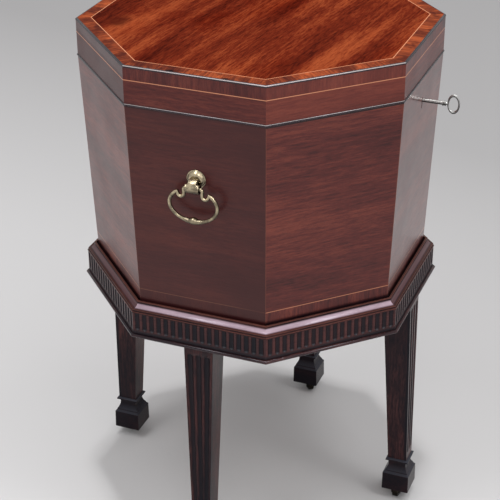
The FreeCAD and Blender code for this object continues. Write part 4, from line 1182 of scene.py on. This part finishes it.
class CELLARETTE_OT_legs(bpy.types.Operator):
    """Model the four fluted legs and their spade feet"""

    bl_idname = "cellarette.legs"
    bl_label = "Legs and feet"

    def execute(self, context):
        sizes = context.scene.cellarette_legs
        colours = context.scene.cellarette_colours
        leg = self.plain_leg(sizes)
        for place in (-1, 0, 1):
            cut(leg, self.flute_cutter(sizes, place))
        bevel(leg, 0.5 * mm, angle=60.0)
        smooth(leg, 40.0)
        foot = self.foot(sizes)
        leg_material = leg_finish(colours, sizes)
        foot_material = foot_finish(colours)
        for side in leg_sides:
            piece = on_side(leg, "fluted_leg_" + side, side)
            finish_piece(piece, "stand", "mahogany_stand", leg_material, "leg_" + side)
            piece = on_side(foot, "turned_foot_" + side, side)
            finish_piece(piece, "stand", "mahogany_stand", foot_material, "spade_foot_" + side)
        discard(leg)
        discard(foot)
        return {"FINISHED"}

    def plain_leg(self, sizes):
        """A tapered post whose back runs up inside the rail."""
        half = sizes.top_width / 2
        top_reach = frieze_reach + sizes.projection
        back = sizes.top_depth - top_reach
        block("front_leg", (-half, -top_reach, leg_z), (half, back, rail_z))
        choose_points(lambda place: place.z < (leg_z + rail_z) / 2)
        foot_back = sizes.foot_depth - top_reach - sizes.splay
        scale = (sizes.foot_width / sizes.top_width, sizes.foot_depth / sizes.top_depth, 1)
        bpy.ops.transform.resize(value=scale, center_override=(0, back, leg_z))
        bpy.ops.transform.translate(value=(0, foot_back - back, 0))
        rail_back = rail_high.y
        bpy.ops.mesh.select_all(action="SELECT")
        bpy.ops.mesh.bisect(plane_co=(0, rail_back, rail_z), plane_no=(0, 1, 0))
        choose_faces(lambda place, normal: normal.z > 0.9 and place.y > rail_back)
        bpy.ops.mesh.extrude_region_move(
            TRANSFORM_OT_translate={"value": (0, 0, leg_head - rail_z)}
        )
        return finished("front_leg")

    def flute_cutter(self, sizes, place):
        """A tapering, round-ended gouge cut that follows the leg's taper."""
        def gouge(z):
            """Middle, radius and half width of the gouge at a height."""
            share = (z - leg_z) / (rail_z - leg_z)
            width = sizes.foot_width + (sizes.top_width - sizes.foot_width) * share
            reach = frieze_reach + sizes.projection + sizes.splay * (1 - share)
            half = width * sizes.flute_share / 2
            depth = width * sizes.flute_depth_share
            radius = gouge_radius(half, depth)
            middle = Vector((place * width * sizes.flute_pitch_share, depth - reach - radius, z))
            return middle, radius, half

        low_z = leg_z + sizes.flute_foot_margin
        high_z = rail_z - sizes.flute_top_margin
        low_half = gouge(low_z)[2]
        high_half = gouge(high_z)[2]
        low, low_radius, _ = gouge(low_z + low_half)
        high, high_radius, _ = gouge(high_z - high_half)
        rest()
        bpy.ops.mesh.primitive_uv_sphere_add(
            segments=32, ring_count=16, radius=low_radius, location=low, enter_editmode=True,
        )
        choose_points(lambda point: point.z > low.z + hair)
        bpy.ops.transform.translate(value=high - low)
        share = high_radius / low_radius
        bpy.ops.transform.resize(value=(share, share, share), center_override=high)
        return finished("leg_flute_cutter")

    def foot(self, sizes):
        """A spade foot: block, shoulder, fillet, hollow ankle and bevelled collar."""
        neck = sizes.foot_width / 2
        block_top = foot_low.z + sizes.block_height
        fillet_low = block_top + sizes.shoulder_height
        fillet_high = fillet_low + sizes.fillet_height
        collar = neck + sizes.collar_projection
        collar_low = leg_z - sizes.collar_thickness
        hollow = []
        for share in shares(12):
            sag = 4 * sizes.ankle_hollow * share * (1 - share)
            hollow.append((
                sizes.shoulder_half + (neck - sizes.shoulder_half) * share - sag,
                fillet_high + (collar_low - fillet_high) * share,
            ))
        foot = squared("front_foot", [
            (foot_half, foot_low.z), (sizes.block_top_half, block_top),
            (sizes.shoulder_half, fillet_low),
        ] + hollow + [
            (collar, collar_low), (collar, leg_z - sizes.collar_bevel), (neck, leg_z),
        ])
        placed(foot, move=(0, -foot_reach, 0))
        bevel(foot, 0.5 * mm, angle=50.0)
        recess_top = foot_low.z + sizes.recess_depth
        cutter = turned("castor_recess", [
            (sizes.recess_radius, foot_low.z - mm), (sizes.recess_radius, recess_top),
        ], 48)
        cut(foot, placed(cutter, move=(0, -foot_reach, 0)))
        smooth(foot, 30.0)
        return foot


class CELLARETTE_OT_castors(bpy.types.Operator):
    """Model the castor wheels and finish the horns and plates"""

    bl_idname = "cellarette.castors"
    bl_label = "Castors"

    def execute(self, context):
        sizes = context.scene.cellarette_legs
        colours = context.scene.cellarette_colours
        brass = brass_finish("castor_brass", colours.castor, colours.castor_dark, 0.9)
        for side in leg_sides:
            node = "castor_wheel_" + side
            low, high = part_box(node)
            centre = (low + high) / 2
            pivot = self.pivot(side)
            trail = math.atan2(centre.y - pivot.y, centre.x - pivot.x)
            # The wheels stand on the floor, so their radius is half their height.
            wheel = self.wheel(sizes, high.z / 2)
            placed(wheel, move=centre, turn=(math.pi / 2, 0, trail))
            named(wheel, "brass_wheel_" + side)
            finish_piece(wheel, "wheel_" + side, "castor_brass", brass, node)
            dress(brass, "castor_horn_" + side)
        dress(brass, "castor_plates")
        return {"FINISHED"}

    def pivot(self, side):
        """The middle of a foot, where the castor turns."""
        low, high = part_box("spade_foot_" + side)
        return (low + high) / 2

    def wheel(self, sizes, radius):
        """A wheel with rounded tread and sunk faces."""
        half = sizes.wheel_width / 2
        edge = sizes.wheel_chamfer
        hub = sizes.wheel_hub
        sunk = half - sizes.wheel_dish
        web = radius - sizes.wheel_rim
        slope = 0.4 * mm
        upper = arc((radius - edge, half - edge), edge, 0.0, 90.0, 5)
        lower = [(reach, -height) for reach, height in reversed(upper)]
        return turned("brass_wheel", [
            (hub, -half), (hub + slope, -sunk), (web - slope, -sunk), (web, -half),
        ] + lower + upper + [
            (web, half), (web - slope, sunk), (hub + slope, sunk), (hub, half),
        ], 40)


# ------------------------------------------------------------------ case and lid
def hinge_starts(hinge):
    """The places along X where the two hinges of this length start."""
    low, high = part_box("hinge_pins")
    return (low.x, high.x - hinge)


class CELLARETTE_OT_case(bpy.types.Operator):
    """Finish the case, its lining and bottle divisions, and the stand's glue blocks"""

    bl_idname = "cellarette.case"
    bl_label = "Case and lining"

    def execute(self, context):
        colours = context.scene.cellarette_colours
        veneer = case_finish(colours, context.scene.cellarette_inlay)
        dress(veneer, *["case_board_" + side for side in side_names])
        for name, colour, axis, seed, node in (
            ("bottom_board", colours.inside, "x", 110.0, "case_bottom"),
            ("divider_x", colours.inside, "x", 120.0, "bottle_dividers_lengthwise"),
            ("divider_y", colours.inside, "y", 130.0, "bottle_dividers_crosswise"),
            ("glue_block_pine", colours.pine, "x", 140.0, "stand_glue_blocks"),
        ):
            dress(plain_wood_finish(name, colour, axis, seed), node)
        dress(lead_finish(colours), "lead_liner")
        return {"FINISHED"}


class CELLARETTE_OT_lid(bpy.types.Operator):
    """Finish the lid and model its two beads"""

    bl_idname = "cellarette.lid"
    bl_label = "Lid"

    def execute(self, context):
        colours = context.scene.cellarette_colours
        inlay = context.scene.cellarette_inlay
        dress(lid_top_finish(colours, inlay), "lid_board")
        dress(lid_wall_finish(colours, inlay), "lid_walls")
        ebony = ebony_finish(colours)
        edge = run_round("edge_bead", self.edge_profile())
        finish_piece(edge, "lid", "ebony", ebony, "lid_edge_bead")
        lip = run_round("cocked_bead", self.lip_profile())
        self.let_in_hinges(lip, context.scene.cellarette_metalwork.hinge_length)
        finish_piece(lip, "lid", "ebony", ebony, "lid_lip_bead")
        return {"FINISHED"}

    def edge_profile(self):
        """A square strip with its upper outer corner rounded."""
        size = top_z - edge_low_z
        radius = 2.4 * mm
        inner = edge_reach - size
        crown = arc((edge_reach - radius, top_z - radius), radius, 0.0, 90.0, 6)
        return [(inner, edge_low_z), (edge_reach, edge_low_z)] + crown + [(inner, top_z)]

    def lip_profile(self):
        """A low round nose that stands a little proud of the lid's wall."""
        height = lip_top_z - joint_z
        inner = case_reach - height
        nose = []
        for share in shares(8):
            turn = math.pi * (share - 0.5)
            nose.append((
                case_reach + (lip_reach - case_reach) * math.cos(turn),
                joint_z + height / 2 * (1 + math.sin(turn)),
            ))
        return [(inner, joint_z)] + nose + [(inner, lip_top_z)]

    def let_in_hinges(self, lip, hinge):
        """Cut the bead away over the two hinges."""
        inside = case_reach / 2
        for x in hinge_starts(hinge):
            block(
                "hinge_room", (x, inside, joint_z - mm),
                (x + hinge, lip_reach + mm, lip_top_z + mm),
            )
            cut(lip, finished("hinge_room"))


# ------------------------------------------------------------------ metalwork
def screw_head(sizes, name):
    """A flush, slotted screw head that faces up at the origin."""
    radius = sizes.screw_radius
    head = turned(name, [
        (radius * 0.45, -1.2 * mm), (radius, -0.15 * mm), (radius, 0.0),
        (radius * 0.82, 0.07 * mm),
    ], 20)
    half = sizes.screw_slot / 2
    block("slot", (-radius * 1.2, -half, -0.35 * mm), (radius * 1.2, half, mm))
    cut(head, finished("slot"))
    return head


def screws(sizes, name, places, downwards=False):
    """Screw heads at several places, each slot at its own turn, as one piece."""
    pattern = screw_head(sizes, name + "_pattern")
    heads = []
    for i, place in enumerate(places):
        turn = (math.pi if downwards else 0.0, 0.0, math.radians(37.0 * i + 12.0))
        heads.append(placed(copied(pattern, name), move=place, turn=turn))
    discard(pattern)
    return joined(heads, name)


class CELLARETTE_OT_hinges(bpy.types.Operator):
    """Finish the butt hinges and add their screws"""

    bl_idname = "cellarette.hinges"
    bl_label = "Hinges"

    def execute(self, context):
        colours = context.scene.cellarette_colours
        sizes = context.scene.cellarette_metalwork
        brass = brass_finish("hinge_brass", colours.brass, colours.brass_dark, 0.8)
        dress(brass, "case_hinge_leaves", "lid_hinge_leaves", "hinge_pins")
        hinge = sizes.hinge_length
        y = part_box("case_hinge_leaves")[0].y + 5 * mm
        spots = [
            start + hinge * share for start in hinge_starts(hinge) for share in (0.17, 0.5, 0.83)
        ]
        case_z = joint_z - 0.1 * mm
        lid_z = joint_z + 0.1 * mm
        for name, body, z, down in (
            ("case_hinge_screws", "case", case_z, False), ("lid_hinge_screws", "lid", lid_z, True),
        ):
            piece = screws(sizes, name, [(x, y, z) for x in spots], down)
            finish_piece(piece, body, "hinge_brass", brass)
        return {"FINISHED"}


class CELLARETTE_OT_lock(bpy.types.Operator):
    """Model the key, and finish the lock and its link plate"""

    bl_idname = "cellarette.lock"
    bl_label = "Lock and key"

    def execute(self, context):
        colours = context.scene.cellarette_colours
        sizes = context.scene.cellarette_metalwork
        brass = brass_finish("lock_brass", colours.brass, colours.brass_dark, 0.7)
        steel = steel_finish(colours)
        dress(brass, "lock_case", "lock_link_plate")
        dress(steel, "lock_bolt")
        finish_piece(self.key(sizes), "key", "steel", steel, "key")
        low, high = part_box("lock_link_plate")
        y = (low.y + high.y) / 2
        inset = 3.5 * mm
        spots = (low.x + inset, high.x - inset)
        piece = screws(sizes, "selvedge_screws", [(x, y, joint_z) for x in spots])
        finish_piece(piece, "case", "hinge_brass", brass)
        places = [(x, y, joint_z + 0.1 * mm) for x in spots]
        piece = screws(sizes, "link_plate_screws", places, True)
        finish_piece(piece, "lid", "hinge_brass", brass)
        return {"FINISHED"}

    def key(self, sizes):
        """A pipe key: shaft, ringed collar, oval bow and a notched bit."""
        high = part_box("key")[1]
        tip = -high.y
        middle_z = high.z - sizes.bow_half_height
        pieces = [
            self.shaft(sizes, tip, middle_z), self.bow(sizes, middle_z),
            self.bit(sizes, tip, middle_z),
        ]
        return joined(pieces, "pipe_key")

    def shaft(self, sizes, tip, middle_z):
        """The key's shaft, bored at its tip, with a ringed collar before the bow."""
        radius = sizes.shaft_radius
        rings = []
        ring_radii = (3.9 * mm, 3.0 * mm, 3.7 * mm)
        ring = (sizes.collar_end - sizes.shaft_end) / len(ring_radii)
        for i, proud in enumerate(ring_radii):
            start = sizes.shaft_end + i * ring
            waist = proud - sizes.collar_groove
            rings += [(waist, start), (proud, start + ring * 0.3)]
            rings += [(proud, start + ring * 0.7), (waist, start + ring)]
        neck_end = sizes.bow_centre - sizes.bow_half_width + 0.6 * mm
        shaft = turned("key_shaft", [
            (sizes.pipe_radius, tip + sizes.pipe_depth), (sizes.pipe_radius, tip),
            (radius, tip), (radius, sizes.shaft_end),
        ] + rings + [(radius * 0.9, sizes.collar_end), (sizes.neck_radius, neck_end)])
        return placed(shaft, move=(0, 0, middle_z), turn=(math.pi / 2, 0, 0))

    def bow(self, sizes, middle_z):
        """The key's bow: an upright oval of round wire."""
        rest()
        centre = (0, -sizes.bow_centre, middle_z)
        ring_width = sizes.bow_half_width - sizes.wire_radius
        ring_height = sizes.bow_half_height - sizes.wire_radius
        bpy.ops.mesh.primitive_torus_add(
            major_segments=64, minor_segments=16, major_radius=ring_width,
            minor_radius=sizes.wire_radius, location=centre, rotation=(0, math.pi / 2, 0),
        )
        bpy.ops.object.mode_set(mode="EDIT")
        bpy.ops.transform.resize(value=(1, 1, ring_height / ring_width), center_override=centre)
        return finished("key_bow")

    def bit(self, sizes, tip, middle_z):
        """The key's bit, which hangs from the shaft, with a notch for the ward."""
        half = sizes.bit_thickness / 2
        width = sizes.bit_width
        bit_foot = middle_z - sizes.bit_reach
        bit_top = middle_z - sizes.shaft_radius * 0.8
        block("key_bit", (-half, -tip - width, bit_foot), (half, -tip, bit_top))
        bit = finished("key_bit")
        block(
            "ward_notch", (-2 * half, -tip - width * 0.6, bit_foot - mm),
            (2 * half, -tip - width * 0.4, bit_foot + sizes.bit_reach * 0.3),
        )
        cut(bit, finished("ward_notch"))
        return bit


class CELLARETTE_OT_handles(bpy.types.Operator):
    """Model the two carrying handles"""

    bl_idname = "cellarette.handles"
    bl_label = "Carrying handles"

    def execute(self, context):
        sizes = context.scene.cellarette_handles
        colours = context.scene.cellarette_colours
        brass = brass_finish("handle_brass", colours.brass, colours.brass_dark, 0.75)
        post = refined("handle_posts", "cast_posts", sizes.post_bevel, 3)
        post = joined([post] + self.barrels(sizes), "cast_posts")
        finish_piece(post, "case", "handle_brass", brass)
        dress(brass, "handle_nuts")
        finish_piece(self.rosettes(sizes), "case", "handle_brass", brass, "handle_rosettes")
        for side, turn in (("left", math.pi), ("right", 0.0)):
            bail = placed(self.bail(sizes), turn=(0, 0, turn))
            named(bail, "swan_bail_" + side)
            finish_piece(bail, "bail_" + side, "handle_brass", brass, "bail_" + side)
        return {"FINISHED"}

    def pins(self, sizes):
        """The X and Z of the right bail's pins."""
        low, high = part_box("bail_right")
        return (low.x + high.x) / 2, high.z - sizes.wire_radius

    def barrels(self, sizes):
        """The two drums that the bails hang from."""
        x, z = self.pins(sizes)
        half = sizes.barrel_length / 2
        radius = sizes.barrel_radius
        edge = sizes.barrel_edge
        drums = []
        for side in (1, -1):
            drum = turned("drum", [
                (radius - edge, -half), (radius, edge - half), (radius, half - edge),
                (radius - edge, half),
            ], 40)
            drums.append(placed(drum, move=(side * x, 0, z), turn=(math.pi / 2, 0, 0)))
        return drums

    def rosettes(self, sizes):
        """Two domed rosettes with a stepped rim, flat on the leaning sides."""
        low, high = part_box("handle_rosettes")
        z = (low.z + high.z) / 2
        reach = case_reach - case_lean * (joint_z - z)
        radius = sizes.rosette_radius
        crown = sizes.crown_radius
        step_radius = radius - sizes.step_width
        step_height = sizes.step_height
        dome = sizes.rosette_height - step_height
        profile = [
            (radius, 0.0), (radius, 0.9 * mm), (radius - 0.3 * mm, 1.3 * mm),
            (step_radius + 0.3 * mm, 1.45 * mm), (step_radius, step_height),
        ]
        for share in shares(8)[1:]:
            profile.append((
                step_radius + (crown - step_radius) * share,
                step_height + dome * math.sin(share * math.pi / 2),
            ))
        profile.append((crown * 0.5, sizes.rosette_height))
        right = turned("rosette", profile, 48)
        placed(right, move=(reach, 0, z), turn=(0, math.pi / 2 + math.atan(case_lean), 0))
        left = placed(copied(right, "rosette_left"), turn=(0, 0, math.pi))
        return joined([right, left], "domed_rosettes")

    def path(self, sizes):
        """The middle line of half the bail, from its pin to the foot of the loop."""
        points = [(sizes.barrel_length / 2 - sizes.pin_depth, 0.0)]
        turn_y = sizes.hook_start - sizes.bend_radius
        points += [
            (turn_y + dy, dz - sizes.bend_radius)
            for dy, dz in arc((0, 0), sizes.bend_radius, 90.0, 0.0, 6)
        ]
        hook = (sizes.hook_start + sizes.hook_radius, -sizes.hook_drop)
        points += arc(hook, sizes.hook_radius, 180.0, 345.0, 16)
        start = math.acos(sizes.cusp_offset / sizes.half_width)
        for share in shares(40):
            turn = start - (start + math.pi / 2) * share
            points.append((
                sizes.half_width * math.cos(turn), sizes.half_height * math.sin(turn) - sizes.drop
            ))
        return points

    def bail(self, sizes):
        """The right bail: a swan-necked wire that swells to its grip."""
        half = self.path(sizes)
        points = half + [(-y, z) for y, z in reversed(half[:-1])]
        x, top = self.pins(sizes)
        rest()
        bpy.ops.curve.primitive_nurbs_path_add()
        curve = bpy.context.object
        curve.data.splines.clear()
        spline = curve.data.splines.new("POLY")
        spline.points.add(len(points) - 1)
        for point, (y, z) in zip(spline.points, points):
            hanging = z < -sizes.drop
            grip = self.swell(y / sizes.grip_length) if hanging else 0.0
            knop = self.swell(y / sizes.knop_length) * sizes.knop_rise if hanging else 0.0
            thick = (sizes.grip_radius - sizes.wire_radius) * grip + knop
            point.co = (x, y, top + z + knop, 1.0)
            point.radius = 1 + thick / sizes.wire_radius
        curve.data.bevel_depth = sizes.wire_radius
        curve.data.bevel_resolution = 6
        curve.data.use_fill_caps = True
        bpy.ops.object.convert(target="MESH")
        bpy.ops.object.mode_set(mode="EDIT")
        return finished("swan_bail", 50.0)

    def swell(self, share):
        """1 in the middle of a swelling and 0 beyond its ends."""
        return max(0.0, 1 - share ** 2) ** 2


# ------------------------------------------------------------------ panel and order of work
operators = (
    CELLARETTE_OT_stage, CELLARETTE_OT_frieze, CELLARETTE_OT_stand_mouldings, CELLARETTE_OT_legs,
    CELLARETTE_OT_castors, CELLARETTE_OT_case, CELLARETTE_OT_lid, CELLARETTE_OT_hinges,
    CELLARETTE_OT_lock, CELLARETTE_OT_handles,
)
settings = {
    "cellarette_stand": StandSizes, "cellarette_legs": LegSizes, "cellarette_inlay": InlaySizes,
    "cellarette_handles": HandleSizes, "cellarette_metalwork": MetalworkSizes,
    "cellarette_colours": Colours, "cellarette_stage": StageSettings,
}


class CELLARETTE_PT_panel(bpy.types.Panel):
    """Lists the pieces in the order in which they are made"""

    bl_label = "Cellarette"
    bl_idname = "CELLARETTE_PT_panel"
    bl_space_type = "VIEW_3D"
    bl_region_type = "UI"
    bl_category = "Cellarette"

    def draw(self, context):
        for operator in operators:
            self.layout.operator(operator.bl_idname)
        for name, group in settings.items():
            box = self.layout.box()
            for key in group.__annotations__:
                box.prop(getattr(context.scene, name), key)


classes = tuple(settings.values()) + operators + (CELLARETTE_PT_panel,)


def register():
    for cls in classes:
        bpy.utils.register_class(cls)
    for name, group in settings.items():
        setattr(bpy.types.Scene, name, PointerProperty(type=group))


def unregister():
    for name in settings:
        delattr(bpy.types.Scene, name)
    for cls in reversed(classes):
        bpy.utils.unregister_class(cls)


def main():
    register()
    for operator in operators:
        group, name = operator.bl_idname.split(".")
        getattr(getattr(bpy.ops, group), name)()
    rest()


if __name__ == "__main__":
    main()
